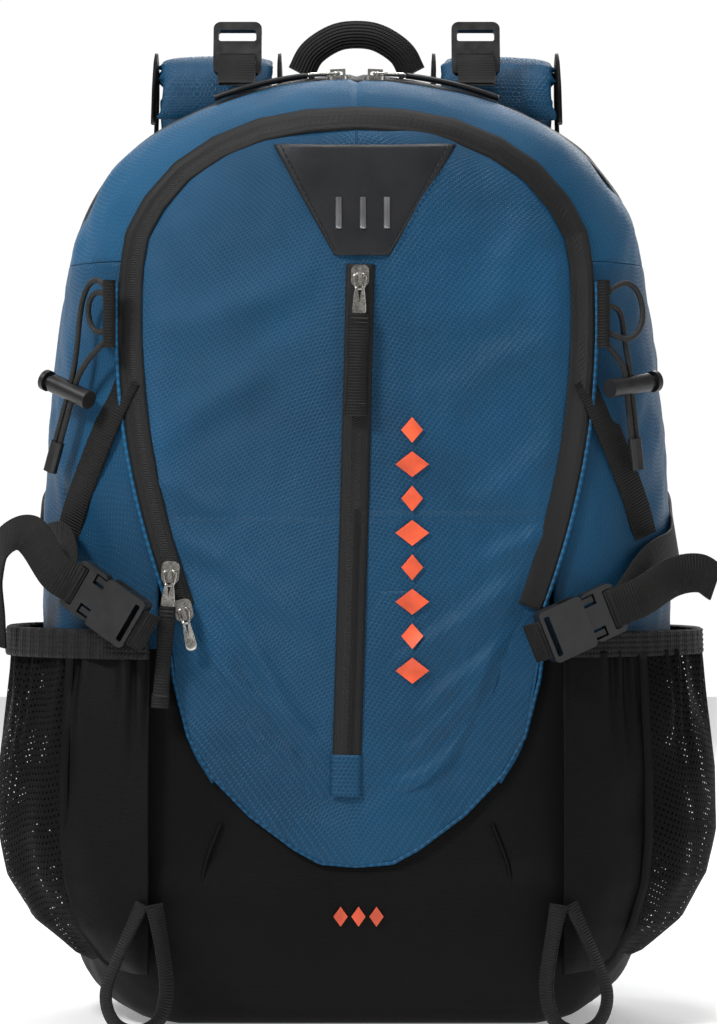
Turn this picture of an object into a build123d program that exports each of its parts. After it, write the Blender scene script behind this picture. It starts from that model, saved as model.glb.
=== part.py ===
"""Hiking daypack, about 25 litres: sewn shell, opening top section, side pockets, harness and its hardware.

Frame: +Z up, the front faces -Y, +X is to the right of somebody facing the front. The base stands on Z = 0.
"""
import os
from math import asin, cos, radians, sin, tan

from build123d import *

os.makedirs("parts", exist_ok=True)

# Driving dimensions, millimetres
WIDTH = 323.2             # fabric shell at its widest, without the side pockets
ZIP_TOP = 486.0           # crown of the main zip above the base
BACK_TOP = 496.0          # top of the back panel
BACK_Y = 58.0             # rear face of the shell
ZIP_Y = -10.0             # centre plane of the main zip
ZIP_HALF = 5.0            # half-width of its tape
FRONT_Y = -98.0           # front plane at the base
FRONT_LEAN = 4.0          # degrees the front leans back
WALL = 3.0                # sewn fabric with its foam
HINGE_V = 390.0           # height of the fold where the top section opens
WEBBING = 20.0            # width of the straps
CLEARANCE = 0.4           # between pieces that move past each other

CROWN_RADIUS = 210.0      # top arc of the shell, which the main zip follows
CROWN_TURN = 27.0         # degrees of that arc on each side of the centre
SHOULDER_RADIUS = 98.0
SHOULDER_TURN = 80.0
FLANK_RADIUS = 939.0
HALF_WIDTH = WIDTH / 2

FRONT = Plane(
    origin=(0, FRONT_Y, 0),
    x_dir=(1, 0, 0),
    z_dir=(0, -cos(radians(FRONT_LEAN)), sin(radians(FRONT_LEAN))),
)


def export(part, name):
    """Label one finished piece and write it."""
    part.label = name
    export_step(part, f"parts/{name}.step")


def upright(y):
    """Plane across the bag at depth y, facing the front."""
    return Plane(origin=(0, y, 0), x_dir=(1, 0, 0), z_dir=(0, -1, 0))


def turn(radius, start, end):
    """Step along an arc of this radius while its heading turns from start to end degrees below level."""
    return (
        radius * (sin(radians(end)) - sin(radians(start))),
        -radius * (cos(radians(start)) - cos(radians(end))),
    )


def arc_from(point, radius, start, end):
    """Start, middle and end of such an arc."""
    middle = turn(radius, start, (start + end) / 2)
    last = turn(radius, start, end)
    return [point, (point[0] + middle[0], point[1] + middle[1]), (point[0] + last[0], point[1] + last[1])]


def half_outline():
    """Arcs of the right half of the bag's front outline, from the crown down to the base."""
    crown_end = (CROWN_RADIUS * sin(radians(CROWN_TURN)),
                 ZIP_TOP - CROWN_RADIUS * (1 - cos(radians(CROWN_TURN))))
    shoulder = arc_from(crown_end, SHOULDER_RADIUS, CROWN_TURN, SHOULDER_TURN)
    flank = arc_from(shoulder[2], FLANK_RADIUS, SHOULDER_TURN, 90)
    return [shoulder, flank, [flank[2], (160.5, 150), (154, 75)], [(154, 75), (137, 24), (95, 0)]]


def outline(plane, half_width, top, bottom):
    """Front outline of the bag, fitted to a width and a height span."""
    across = half_width / HALF_WIDTH
    up = (top - bottom) / ZIP_TOP
    arcs = half_outline()
    with BuildSketch(plane) as sketch:
        with BuildLine():
            for side in (1, -1):
                for arc in arcs:
                    ThreePointArc(*[(side * x * across, bottom + z * up) for x, z in arc])
            crown = arcs[0][0]
            ThreePointArc(
                (-crown[0] * across, bottom + crown[1] * up),
                (0, top),
                (crown[0] * across, bottom + crown[1] * up),
            )
            base = arcs[-1][2]
            Line((-base[0] * across, bottom), (base[0] * across, bottom))
        make_face()
    return sketch.sketch


def bag(inset):
    """Solid of the bag's outer shape, or of its inside when inset by a wall."""
    sections = [
        (upright(BACK_Y - inset), HALF_WIDTH - 3, BACK_TOP, 0),
        (upright(ZIP_Y + ZIP_HALF), HALF_WIDTH, ZIP_TOP, 0),
        (upright(ZIP_Y - ZIP_HALF), HALF_WIDTH, ZIP_TOP, 0),
        (upright(FRONT_Y + 46), HALF_WIDTH - 12, ZIP_TOP - 10, 3),
        (FRONT.offset(-inset), HALF_WIDTH - 34, ZIP_TOP - 20, 58),
    ]
    with BuildPart() as body:
        for plane, half_width, top, bottom in sections:
            add(outline(plane, half_width - inset, top - inset, bottom + inset))
        loft(ruled=True)
    return body.part


OUTER = bag(0)
INNER = bag(WALL)
with BuildPart() as shell_block:
    add(OUTER)
    add(INNER, mode=Mode.SUBTRACT)
SHELL = shell_block.part


def region(solid, low, high):
    """The part of a solid inside one box."""
    size = [h - l for l, h in zip(low, high)]
    centre = tuple((l + h) / 2 for l, h in zip(low, high))
    with BuildPart() as piece:
        add(solid)
        with Locations(centre):
            Box(*size, mode=Mode.INTERSECT)
    return piece.part


FAR = 400.0
SIDE_SEAM_Y = FRONT_Y + 70       # seam between the front panels and the side gussets
BACK_FACE = BACK_Y - 6           # inner face of the padded back panel
LOWER_SEAM = 86.0                # seam between the blue front and the black lower front
HINGE_Z = HINGE_V * cos(radians(FRONT_LEAN))

export(region(OUTER, (-FAR, BACK_FACE, -1), (FAR, FAR, FAR * 2)), "back_panel")
export(region(OUTER, (-FAR, -FAR, -1), (FAR, BACK_FACE, WALL)), "base_panel")
export(region(SHELL, (-FAR, -FAR, WALL), (FAR, SIDE_SEAM_Y, LOWER_SEAM)), "lower_panel")
export(region(SHELL, (-FAR, -FAR, LOWER_SEAM), (FAR, SIDE_SEAM_Y, HINGE_Z)), "front_panel")
export(region(SHELL, (-FAR, SIDE_SEAM_Y, WALL), (0, BACK_FACE, HINGE_Z)), "gusset_left")
export(region(SHELL, (0, SIDE_SEAM_Y, WALL), (FAR, BACK_FACE, HINGE_Z)), "gusset_right")
export(region(SHELL, (-FAR, ZIP_Y + ZIP_HALF, HINGE_Z), (FAR, BACK_FACE, FAR * 2)), "gusset_top")
export(region(SHELL, (-FAR, ZIP_Y - ZIP_HALF, HINGE_Z), (FAR, ZIP_Y + ZIP_HALF, FAR * 2)), "main_zip_tape")
export(region(SHELL, (-FAR, -FAR, HINGE_Z + CLEARANCE), (FAR, ZIP_Y - ZIP_HALF - CLEARANCE, FAR * 2)), "lid_panel")

DIVIDER_Y = FRONT_Y + 46
export(region(INNER, (-FAR, DIVIDER_Y, WALL + 3), (FAR, DIVIDER_Y + 1.5, HINGE_Z - 4)), "pocket_divider")

# Stiffener sheet behind the lining, against the padded back panel
SHEET_THICKNESS = 2.0
with BuildPart() as frame_sheet:
    with BuildSketch(upright(BACK_FACE)) as sheet_outline:
        with Locations((0, 225)):
            RectangleRounded(200, 420, 30)
    extrude(amount=SHEET_THICKNESS)
export(frame_sheet.part, "frame_sheet")

# Padding on the outside of the back panel: two tall pads and one across the hips
PAD_THICKNESS = 10.0
with BuildPart() as back_pads:
    with BuildSketch(upright(BACK_Y)) as pad_outline:
        with Locations((-62, 275), (62, 275)):
            RectangleRounded(76, 270, 24)
        with Locations((0, 78)):
            RectangleRounded(210, 84, 24)
    extrude(amount=-PAD_THICKNESS)
export(back_pads.part, "back_pads")

# Stretch side pockets, each a scoop of fabric with an elastic rim
POCKET_REACH = 186.0      # half-width over the pockets
POCKET_FLOOR = 30.0
POCKET_RIM = 190.0
RIM_HEIGHT = 12.0
RIM_THICKNESS = 3.5
POCKET_WALL = 2.5


def pocket_plan(side, inset, z):
    """Plan of a side pocket, closed through the bag."""
    reach = POCKET_REACH - inset
    with BuildSketch(Plane.XY.offset(z)) as plan:
        with BuildLine():
            front = (side * (108 - inset), FRONT_Y + 12 + inset)
            widest = (side * reach, ZIP_Y - 12)
            back = (side * 158, BACK_FACE - 8 - inset)
            ThreePointArc(front, (side * (160 - inset), FRONT_Y + 32 + inset), widest)
            ThreePointArc(widest, (side * (reach - 4), ZIP_Y + 30), back)
            Polyline(back, (side * 100, back[1]), (side * 100, front[1]), front)
        make_face()
    return plan.sketch


def pocket_front(side, inset):
    """Front outline of a side pocket, with its lower corner rounded."""
    reach = POCKET_REACH - inset
    low = POCKET_FLOOR + inset
    with BuildSketch(upright(FAR)) as view:
        with BuildLine():
            ThreePointArc((side * reach, 98), (side * (reach - 12), 52), (side * 138, low))
            Polyline((side * 138, low), (side * 90, low), (side * 90, 300), (side * reach, 300), (side * reach, 98))
        make_face()
    return view.sketch


def pocket_solid(side, inset):
    """Scoop of the pocket's outer or inner shape."""
    with BuildPart() as front_view:
        extrude(pocket_front(side, inset), amount=2 * FAR, dir=(0, -1, 0))
    with BuildPart() as scoop:
        add(pocket_plan(side, inset, POCKET_FLOOR))
        extrude(amount=POCKET_RIM - POCKET_FLOOR + inset)
        add(front_view.part, mode=Mode.INTERSECT)
    return scoop.part


rims = []
for side, name in ((-1, "left"), (1, "right")):
    with BuildPart() as side_pocket:
        add(pocket_solid(side, 0))
        add(pocket_solid(side, POCKET_WALL), mode=Mode.SUBTRACT)
        add(OUTER, mode=Mode.SUBTRACT)
    pocket = side_pocket.part.solids().sort_by(SortBy.VOLUME)[-1]
    export(Part([pocket]), f"side_pocket_{name}")
    with BuildPart() as rim:
        extrude(pocket_plan(side, 0, POCKET_RIM), amount=RIM_HEIGHT)
        extrude(pocket_plan(side, RIM_THICKNESS, POCKET_RIM), amount=RIM_HEIGHT, mode=Mode.SUBTRACT)
        add(OUTER, mode=Mode.SUBTRACT)
    rims.append(rim.part.solids().sort_by(SortBy.VOLUME)[-1])
export(Part(rims), "pocket_elastics")


def placed(origin, along, outward):
    """Plane with x along a piece and z out of the surface that the piece lies on."""
    x = Vector(*along).normalized()
    out = Vector(*outward)
    return Plane(origin=origin, x_dir=x, z_dir=(out - x * out.dot(x)).normalized())


def side_view(plane, across=0.0):
    """Plane that sees a placed piece from its side: x along it, y out of the surface."""
    origin = plane.from_local_coords((0, across, 0))
    return Plane(origin=origin, x_dir=plane.x_dir, z_dir=plane.y_dir * -1)


# Front pocket: horseshoe zip band, centre zip and crown patch, all on the front plane
BAND_WIDTH = 12.0
BAND_THICKNESS = 1.6
BAND_U = 113.8            # centreline at its widest
BAND_V = 361.0            # height of the widest point
BAND_RADIUS = 420.0       # arc of the band down each side
BAND_END_V = 214.0


def band_u(v):
    """Half-width of the band's centreline at height v, on its side arc."""
    return BAND_U - BAND_RADIUS + (BAND_RADIUS ** 2 - (v - BAND_V) ** 2) ** 0.5


def band(path_maker):
    """Zip band along the lines that path_maker draws."""
    with BuildPart() as strip:
        with BuildSketch(FRONT):
            with BuildLine():
                path_maker()
            trace(line_width=BAND_WIDTH)
        extrude(amount=BAND_THICKNESS)
    return strip.part


def band_sides():
    middle_v = (HINGE_V + BAND_END_V) / 2
    for side in (-1, 1):
        ThreePointArc(*[(side * band_u(v), v) for v in (HINGE_V + 2, middle_v, BAND_END_V)])


def band_arch():
    start = (band_u(HINGE_V) + 0.5, HINGE_V - 4)
    ThreePointArc(start, (93, 422), (54, 447))
    ThreePointArc((54, 447), (0, 455), (-54, 447))
    ThreePointArc((-54, 447), (-93, 422), (-start[0], start[1]))


export(region(band(band_sides), (-FAR, -FAR, 0), (FAR, FAR, HINGE_Z)), "pocket_zip_sides")
export(region(band(band_arch), (-FAR, -FAR, HINGE_Z + CLEARANCE), (FAR, FAR, 2 * FAR)), "pocket_zip_arch")

CENTRE_ZIP = [(10, 388), (-6, 388), (-12, 136), (2, 136)]
with BuildPart() as centre_zip_tape:
    with BuildSketch(FRONT):
        Polygon(*CENTRE_ZIP, align=None)
    extrude(amount=1.4)
export(centre_zip_tape.part, "centre_zip_tape")

with BuildPart() as crown_patch:
    with BuildSketch(FRONT):
        Polygon((-36, 441), (42, 440), (16, 391.5), (-11, 391.5), align=None)
    extrude(amount=1.2)
export(crown_patch.part, "crown_patch")

# Zip sliders and their pulls
SLIDER_LENGTH = 11.0
SLIDER_HEIGHT = 3.0
BAIL_RISE = 4.9           # height of the pull's pivot over the zip
PULL_GAP = 0.3


def zip_slider(plane, width=9.0):
    """Slider body with the bail that holds its pull."""
    with BuildPart() as slider:
        with BuildSketch(plane.offset(PULL_GAP)):
            RectangleRounded(SLIDER_LENGTH, width, 3)
        extrude(amount=SLIDER_HEIGHT)
        with BuildSketch(side_view(plane, 1)):
            with Locations((0, PULL_GAP + SLIDER_HEIGHT + 2)):
                Rectangle(8, 4)
            with Locations((0, BAIL_RISE)):
                SlotOverall(5.2, 2.6, mode=Mode.SUBTRACT)
        extrude(amount=2)
    return slider.part


def zip_pull(plane, length, width=7.0):
    """Flat pull whose end bar passes through the bail."""
    thickness = 1.2
    with BuildPart() as pull:
        with BuildSketch(plane.offset(BAIL_RISE - thickness / 2)):
            with Locations((length / 2 - 0.8, 0)):
                RectangleRounded(length, width, 0.7)
            with Locations((4.6, 0)):
                RectangleRounded(7.6, width - 2.2, 0.7, mode=Mode.SUBTRACT)
        extrude(amount=thickness)
    return pull.part


def pull_webbing(plane, start, length, width=10.0):
    """Webbing tail behind a metal pull."""
    with BuildPart() as tail:
        with BuildSketch(plane.offset(BAIL_RISE - 1)):
            with Locations((start + length / 2, 0)):
                Rectangle(length, width)
        extrude(amount=2)
    return tail.part


def on_front(u, v, w=0.0):
    """Point over the front plane."""
    return FRONT.from_local_coords((u, v, w))


CENTRE_ZIP_TILT = radians(1.5)
CENTRE_ALONG = FRONT.x_dir * -sin(CENTRE_ZIP_TILT) - FRONT.y_dir * cos(CENTRE_ZIP_TILT)
CENTRE_SLIDER = placed(on_front(1.8, 382, 1.4), CENTRE_ALONG, FRONT.z_dir)
export(zip_slider(CENTRE_SLIDER), "centre_slider")
centre_pull = [zip_pull(CENTRE_SLIDER, 22), pull_webbing(CENTRE_SLIDER, 21.4, 50)]
export(Part([piece.solid() for piece in centre_pull]), "centre_pull")


def band_slider_plane(v, swing):
    """Place on the band's left side at height v; the pull swings off the band's line by so many degrees."""
    fall = asin((BAND_V - v) / BAND_RADIUS)
    heading = fall + radians(swing)
    along = FRONT.x_dir * sin(heading) - FRONT.y_dir * cos(heading)
    return placed(on_front(-band_u(v), v, BAND_THICKNESS), along, FRONT.z_dir)


UPPER_SLIDER_V = 232.0
LOWER_SLIDER_V = 213.0
UPPER_PULL = band_slider_plane(UPPER_SLIDER_V, -22)
LOWER_PULL = band_slider_plane(LOWER_SLIDER_V, -8)
export(zip_slider(UPPER_PULL), "pocket_slider_upper")
export(zip_slider(LOWER_PULL), "pocket_slider_lower")
upper_pull = [zip_pull(UPPER_PULL, 20), pull_webbing(UPPER_PULL, 19.4, 50, 8)]
export(Part([piece.solid() for piece in upper_pull]), "pocket_pull_upper")
export(zip_pull(LOWER_PULL, 22, 5.6), "pocket_pull_lower")

MAIN_SLIDER_START = 2.6   # degrees from the centre of the crown
MAIN_PULLS = {}
for side, name in ((-1, "left"), (1, "right")):
    angle = side * radians(MAIN_SLIDER_START)
    crown_point = (CROWN_RADIUS * sin(angle), ZIP_Y, ZIP_TOP - CROWN_RADIUS * (1 - cos(angle)))
    plane = placed(crown_point, (side * cos(angle), 0, -side * sin(angle)), (sin(angle), 0, cos(angle)))
    MAIN_PULLS[name] = plane
    export(zip_slider(plane, 8), f"main_slider_{name}")
    arc_radius = CROWN_RADIUS + BAIL_RISE
    with BuildPart() as puller:
        with BuildSketch(side_view(plane, 2)):
            with BuildLine():
                ThreePointArc(*[
                    (arc_radius * sin(s / arc_radius), arc_radius * cos(s / arc_radius) - CROWN_RADIUS)
                    for s in (18, 40, 66)
                ])
            trace(line_width=2.6)
        extrude(amount=4)
    main_pull = [zip_pull(plane, 18), puller.part]
    export(Part([piece.solid() for piece in main_pull]), f"main_pull_{name}")

# Side compression straps: a side-release buckle on each front corner
BUCKLE_WIDTH = 27.0
SOCKET_LENGTH = 24.0
SOCKET_DEPTH = 9.0
SOCKET_WALL = 1.6
LATCH_TRAVEL = 22.0
TAB_LENGTH = 4.0          # sewn webbing that shows behind the socket
PRONG_PIVOT = (6.0, 8.6)  # along and across, from the socket's mouth

# Middle of the socket's mouth, direction towards the latch and outward normal, for each side
BUCKLES = {
    "left": placed((-128.0, -95.2, 217.8), (-29, 12, 20), (-0.38, -0.92, 0)),
    "right": placed((115.0, -93.4, 208.0), (43, 13, 19), (0.3, -0.95, 0)),
}


def bar_plate(length, width, web):
    """Flat frame with one cross slot near its far end for the webbing."""
    RectangleRounded(length, width, 3)
    with Locations((length / 2 - 4.5, 0)):
        RectangleRounded(4, web, 1, mode=Mode.SUBTRACT)


def buckle_socket(plane):
    """Half of the buckle that is sewn to the bag: a sleeve open at its mouth and down both sides."""
    bottom = plane.offset(-SOCKET_DEPTH / 2)
    inner_depth = SOCKET_DEPTH - 2 * SOCKET_WALL
    with BuildPart() as socket:
        with BuildSketch(bottom):
            with Locations((-SOCKET_LENGTH / 2, 0)):
                RectangleRounded(SOCKET_LENGTH, BUCKLE_WIDTH, 2.5)
        extrude(amount=SOCKET_DEPTH)
        with BuildSketch(bottom.offset(SOCKET_WALL)):
            with Locations((-7, 0)):
                Rectangle(18, 22.4)
            with Locations((-5, 0)):
                Rectangle(12, BUCKLE_WIDTH + 2)
        extrude(amount=inner_depth, mode=Mode.SUBTRACT)
        with BuildSketch(bottom):
            with Locations((-20.5, 0)):
                RectangleRounded(3, 21, 1)
        extrude(amount=SOCKET_DEPTH, mode=Mode.SUBTRACT)
    return socket.part


def buckle_latch(plane):
    """Moving half: shoulder and webbing bar outside the socket, guide tongue inside it."""
    with BuildPart() as latch:
        with BuildSketch(plane.offset(-3)):
            with Locations((9.4, 0)):
                bar_plate(18, BUCKLE_WIDTH - 1, WEBBING + 1)
        extrude(amount=6)
        with BuildSketch(plane.offset(-2)):
            with Locations((-5.5, 0)):
                RectangleRounded(13, 6, 1)
        extrude(amount=4)
        with BuildSketch(plane.offset(-4)):
            with Locations((3.4, -PRONG_PIVOT[1]), (3.4, PRONG_PIVOT[1])):
                Rectangle(8, 5.4)
        extrude(amount=8, mode=Mode.SUBTRACT)
    return latch.part


def buckle_prong(plane, side):
    """Springy arm of the latch, with the thumb pad that shows at the socket's side."""
    with BuildPart() as prong:
        with BuildSketch(plane.offset(-2)):
            with BuildLine():
                Polyline(
                    (6.6, side * 10.4), (6.6, side * 7.4), (-11, side * 7.6), (-11, side * 10.2),
                    (-9.6, side * 12.6), (-5.4, side * 12.6), (-4.8, side * 10.2), (6.6, side * 10.4),
                )
            make_face()
        extrude(amount=4)
    return prong.part


tabs = []
strap_runs = []
for name, plane in BUCKLES.items():
    export(buckle_socket(plane), f"buckle_socket_{name}")
    export(buckle_latch(plane), f"buckle_latch_{name}")
    for label, side in (("upper", 1), ("lower", -1)):
        export(buckle_prong(plane, side), f"buckle_prong_{name}_{label}")
    with BuildPart() as tab:
        with BuildSketch(plane.offset(-SOCKET_DEPTH / 2)):
            with Locations((-SOCKET_LENGTH - TAB_LENGTH / 2, 0)):
                Rectangle(TAB_LENGTH, WEBBING)
        extrude(amount=2)
    tabs.append(tab.part.solid())
export(Part(tabs), "buckle_tabs")

# Straps from the rear seam round each flank, to just short of the latch's travel
STRAP_REAR = (HALF_WIDTH + 3.2, 30.0, 262.0)
STRAP_FRONT = (HALF_WIDTH + 0.6, -34.0, 243.0)
for side in (-1, 1):
    start = Vector(side * STRAP_REAR[0], *STRAP_REAR[1:])
    end = Vector(side * STRAP_FRONT[0], *STRAP_FRONT[1:])
    run = end - start
    plane = placed((start + end) * 0.5, tuple(run), (side, 0, 0))
    with BuildPart() as strap:
        with BuildSketch(plane):
            Rectangle(run.length, WEBBING)
        extrude(amount=1.6)
    strap_runs.append(strap.part.solid())
export(Part(strap_runs), "compression_straps")

# Bungees on the front corners, laid out on a slanting plane: p outward, q up from BUNGEE_Z
CORD = 3.0
BUNGEE_Z = 340.0
LOCK_LENGTH = 26.0
LOCK_RADIUS = 4.8
CORD_SPREAD = 1.7         # each cord's offset along the lock
BELOW_LOCK = 27.0         # from the lock's centre to the cord end
PLUNGER_TRAVEL = 3.0
SLOT = 7.4


def bungee_plane(side):
    """Slanting plane over one front corner."""
    return placed((side * 136, -66, BUNGEE_Z), (side * 0.78, 0.62, 0), (side * 0.62, -0.78, 0))


def bungee_point(side, p, q, w):
    """Point of the bungee layout, p outward from the corner, q up and w off the fabric."""
    return Vector(side * (136 + 0.78 * p + 0.62 * w), -66 + 0.62 * p - 0.78 * w, BUNGEE_Z + q)


LOCKS = {"left": (-1, 6.0, -17.0, 20.0), "right": (1, -3.0, -14.0, 8.0)}


def lock_frame(name):
    """Centre of a cord lock, the direction of its button and the direction of the cords below it."""
    side, p, q, tilt = LOCKS[name]
    outer = (cos(radians(tilt)), sin(radians(tilt)))
    down = (sin(radians(tilt)), -cos(radians(tilt)))
    return side, (p, q), outer, down


def lock_point(name, along, below, w):
    """Point at a lock: along its barrel towards the button, below it down the cords."""
    side, centre, outer, down = lock_frame(name)
    p = centre[0] + along * outer[0] + below * down[0]
    q = centre[1] + along * outer[1] + below * down[1]
    return bungee_point(side, p, q, w)


CORD_HEIGHT = 6.5
ROUTES = {
    ("left", "outer"): [
        (-14, 36, 3), (-9.5, 40, 3), (-3, 38, 3), (1.5, 30, 3), (3.2, 19, 3.5), (3.2, 7, 5),
    ],
    ("left", "inner"): [(-14, 8, 3), (-9, 4, 3.5), (-4, -1, 5)],
    ("left", "loop"): [
        (-14, 32, 3), (-9, 34, 3), (-3.5, 30, 3), (-2.2, 22.5, 3), (-5, 15, 3), (-10, 12, 3), (-14, 14, 3),
    ],
    ("right", "outer"): [(-14, 26, 3), (-8, 26, 3), (-4.5, 20, 3.5), (-4.2, 9, 4.5)],
    ("right", "inner"): [(-14, 6, 3), (-10.5, 2, 4), (-8, -1.5, 5)],
    ("right", "loop"): [
        (-14, 33, 3.5), (-7, 38.5, 5), (1, 36.5, 7), (5, 28, 8), (4.5, 18, 9), (-0.5, 11, 9),
        (-7, 8.5, 7.5), (-14, 12.5, 3.5),
    ],
}


def cord_route(name, strand):
    """Route of one elastic cord; the strands that enter the lock run straight on to the cord end."""
    side = LOCKS[name][0]
    points = [bungee_point(side, *point) for point in ROUTES[name, strand]]
    if strand != "loop":
        offset = CORD_SPREAD if strand == "outer" else -CORD_SPREAD
        points += [lock_point(name, offset, -9, CORD_HEIGHT), lock_point(name, offset, BELOW_LOCK, CORD_HEIGHT)]
    return points


def cord_tube(name, strand):
    """Tube along straight runs joined by arcs as large as the runs allow."""
    points = cord_route(name, strand)
    runs = [after - before for before, after in zip(points, points[1:])]
    radii = []
    for before, after in zip(runs, runs[1:]):
        half_turn = radians(before.get_angle(after)) / 2
        radii.append(0.45 * min(before.length, after.length) / tan(half_turn))
    with BuildPart() as tube:
        with BuildLine():
            route = FilletPolyline(*points, radius=radii)
        with BuildSketch(Plane(origin=route @ 0, z_dir=route % 0)):
            Circle(CORD / 2)
        sweep()
    section = 3.14159265 * CORD ** 2 / 4
    print(f"{name} {strand} cord: length {route.length:.1f}, volume ratio "
          f"{tube.part.volume / (section * route.length):.4f}, radii {[round(r, 1) for r in radii]}")
    return tube.part


def lock_plane(name):
    """Plane of a cord lock: x towards the button, y up the cords, z off the fabric or into it."""
    centre = lock_point(name, 0, 0, CORD_HEIGHT)
    along = lock_point(name, 1, 0, CORD_HEIGHT) - centre
    down = lock_point(name, 0, 1, CORD_HEIGHT) - centre
    return Plane(origin=centre, x_dir=along, z_dir=along.cross(down) * -1)


def round_piece(plane, radius, start, end):
    """Cylinder along a lock's barrel."""
    section = Plane(origin=plane.from_local_coords((start, 0, 0)), z_dir=plane.x_dir)
    with BuildPart() as piece:
        with BuildSketch(section):
            Circle(radius)
        extrude(amount=end - start)
    return piece.part


def cord_slot(plane, centre, length, height):
    """Passage for the two cords."""
    section = Plane(
        origin=plane.from_local_coords((centre, -20, 0)), x_dir=plane.x_dir, z_dir=plane.y_dir
    )
    with BuildPart() as passage:
        with BuildSketch(section):
            SlotOverall(length, height)
        extrude(amount=40)
    return passage.part


BORE_RADIUS = 3.4
BORE_END = -10.0          # closed end of the barrel's bore, where the spring sits
PLUNGER_START = -5.0
for name in LOCKS:
    plane = lock_plane(name)
    half = LOCK_LENGTH / 2
    with BuildPart() as barrel:
        add(round_piece(plane, LOCK_RADIUS, -half, half))
        add(round_piece(plane, BORE_RADIUS, BORE_END, half + 1), mode=Mode.SUBTRACT)
        add(cord_slot(plane, 0, SLOT, 4.0), mode=Mode.SUBTRACT)
    export(barrel.part, f"cord_lock_barrel_{name}")
    with BuildPart() as plunger:
        add(round_piece(plane, BORE_RADIUS - 0.2, PLUNGER_START, half + PLUNGER_TRAVEL + 0.6))
        add(round_piece(plane, LOCK_RADIUS + 0.6, half + PLUNGER_TRAVEL + 0.4, half + PLUNGER_TRAVEL + 3))
        add(cord_slot(plane, PLUNGER_TRAVEL / 2, SLOT + PLUNGER_TRAVEL, 4.0), mode=Mode.SUBTRACT)
    export(Part([plunger.part.solids().sort_by(SortBy.VOLUME)[-1]]), f"cord_lock_plunger_{name}")
    with BuildPart() as spring:
        add(round_piece(plane, 2.8, BORE_END, PLUNGER_START - 0.1))
        add(round_piece(plane, 1.8, BORE_END - 1, PLUNGER_START + 1), mode=Mode.SUBTRACT)
    export(spring.part, f"cord_lock_spring_{name}")

for name, strand in ROUTES:
    export(cord_tube(name, strand), f"bungee_{name}_{strand}")

bungee_tabs = []
cord_ends = []
for name, (side, *_) in LOCKS.items():
    with BuildPart() as bungee_tab:
        with BuildSketch(bungee_plane(side).offset(-2.0)):
            with Locations((-16, side * 22)):
                Rectangle(4, 34)
        extrude(amount=7.5)
    bungee_tabs.append(bungee_tab.part.solid())
    top = lock_point(name, 0, BELOW_LOCK, CORD_HEIGHT)
    below = lock_point(name, 0, BELOW_LOCK + 1, CORD_HEIGHT) - top
    with BuildPart() as cord_end:
        with BuildSketch(Plane(origin=top, x_dir=lock_plane(name).x_dir, z_dir=below)):
            RectangleRounded(7.2, 5, 2)
        extrude(amount=16)
    cord_ends.append(cord_end.part.solid())
export(Part(bungee_tabs), "bungee_tabs")
export(Part(cord_ends), "cord_ends")

# Loops of narrow webbing at the lower front corners
LOOP_X = 110.0
LOOP_RADIUS = 15.0
LOOP_CENTRE_Z = 17.5
LOOP_TOP = (104.0, 66.0)
loops = []
for side in (-1, 1):
    with BuildPart() as loop:
        with BuildSketch(upright(FRONT_Y + 3)):
            with BuildLine():
                top = (side * LOOP_TOP[0], LOOP_TOP[1])
                left = (side * LOOP_X - LOOP_RADIUS, LOOP_CENTRE_Z)
                right = (side * LOOP_X + LOOP_RADIUS, LOOP_CENTRE_Z)
                ThreePointArc(left, (side * LOOP_X, LOOP_CENTRE_Z - LOOP_RADIUS), right)
                Polyline(left, (top[0] - 3, top[1]), (top[0] + 3, top[1]), right)
            trace(line_width=2)
        extrude(amount=8)
    loops.append(loop.part.solid())
export(Part(loops), "base_loops")

# Haul loop on the back edge
HAUL_Y = 54.5
HAUL_PIVOT_Z = 497.0
with BuildPart() as haul_loop:
    with BuildSketch(upright(HAUL_Y + 1.5)):
        with BuildLine():
            ThreePointArc((-30, HAUL_PIVOT_Z + 1), (0, 519), (30, HAUL_PIVOT_Z + 1))
        trace(line_width=15)
    extrude(amount=3)
export(region(haul_loop.part, (-FAR, 0, HAUL_PIVOT_Z - 0.4), (FAR, FAR, 2 * FAR)), "haul_loop")

# Shoulder straps, swinging together from the back panel's top edge
STRAP_THICKNESS = 10.0
STRAP_END_Z = 176.0
HARNESS_PIVOT = (60.0, 490.0)
with BuildPart() as strap_profile:
    with BuildSketch(Plane.YZ.offset(-FAR)) as profile:
        with BuildLine():
            FilletPolyline((64, 472), (66, 497), (84, 509), (104.7, 490), (88, 300), (80, STRAP_END_Z), radius=8)
        trace(line_width=STRAP_THICKNESS)
    extrude(profile.sketch, amount=2 * FAR, dir=(1, 0, 0))
straps = []
for side in (-1, 1):
    with BuildPart() as strap:
        with BuildSketch(upright(FAR)) as face:
            with BuildLine():
                ThreePointArc((side * 42, 520), (side * 38, 350), (side * 84, 170))
                Line((side * 84, 170), (side * 130, 170))
                ThreePointArc((side * 130, 170), (side * 114, 345), (side * 109, 520))
                Line((side * 109, 520), (side * 42, 520))
            make_face()
        extrude(face.sketch, amount=2 * FAR, dir=(0, -1, 0))
        add(strap_profile.part, mode=Mode.INTERSECT)
    straps.append(strap.part.solids().sort_by(SortBy.VOLUME)[-1])
export(Part(straps), "shoulder_straps")


def ladder_lock(plane):
    """Two-slot frame that grips webbing, with three cross bars."""
    with BuildPart() as lock:
        with BuildSketch(plane.offset(-2.2)):
            RectangleRounded(30, 26, 4)
            with Locations((7, 0), (-7, 0)):
                RectangleRounded(6.5, WEBBING, 1.2, mode=Mode.SUBTRACT)
        extrude(amount=4.4)
    return lock.part


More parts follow.
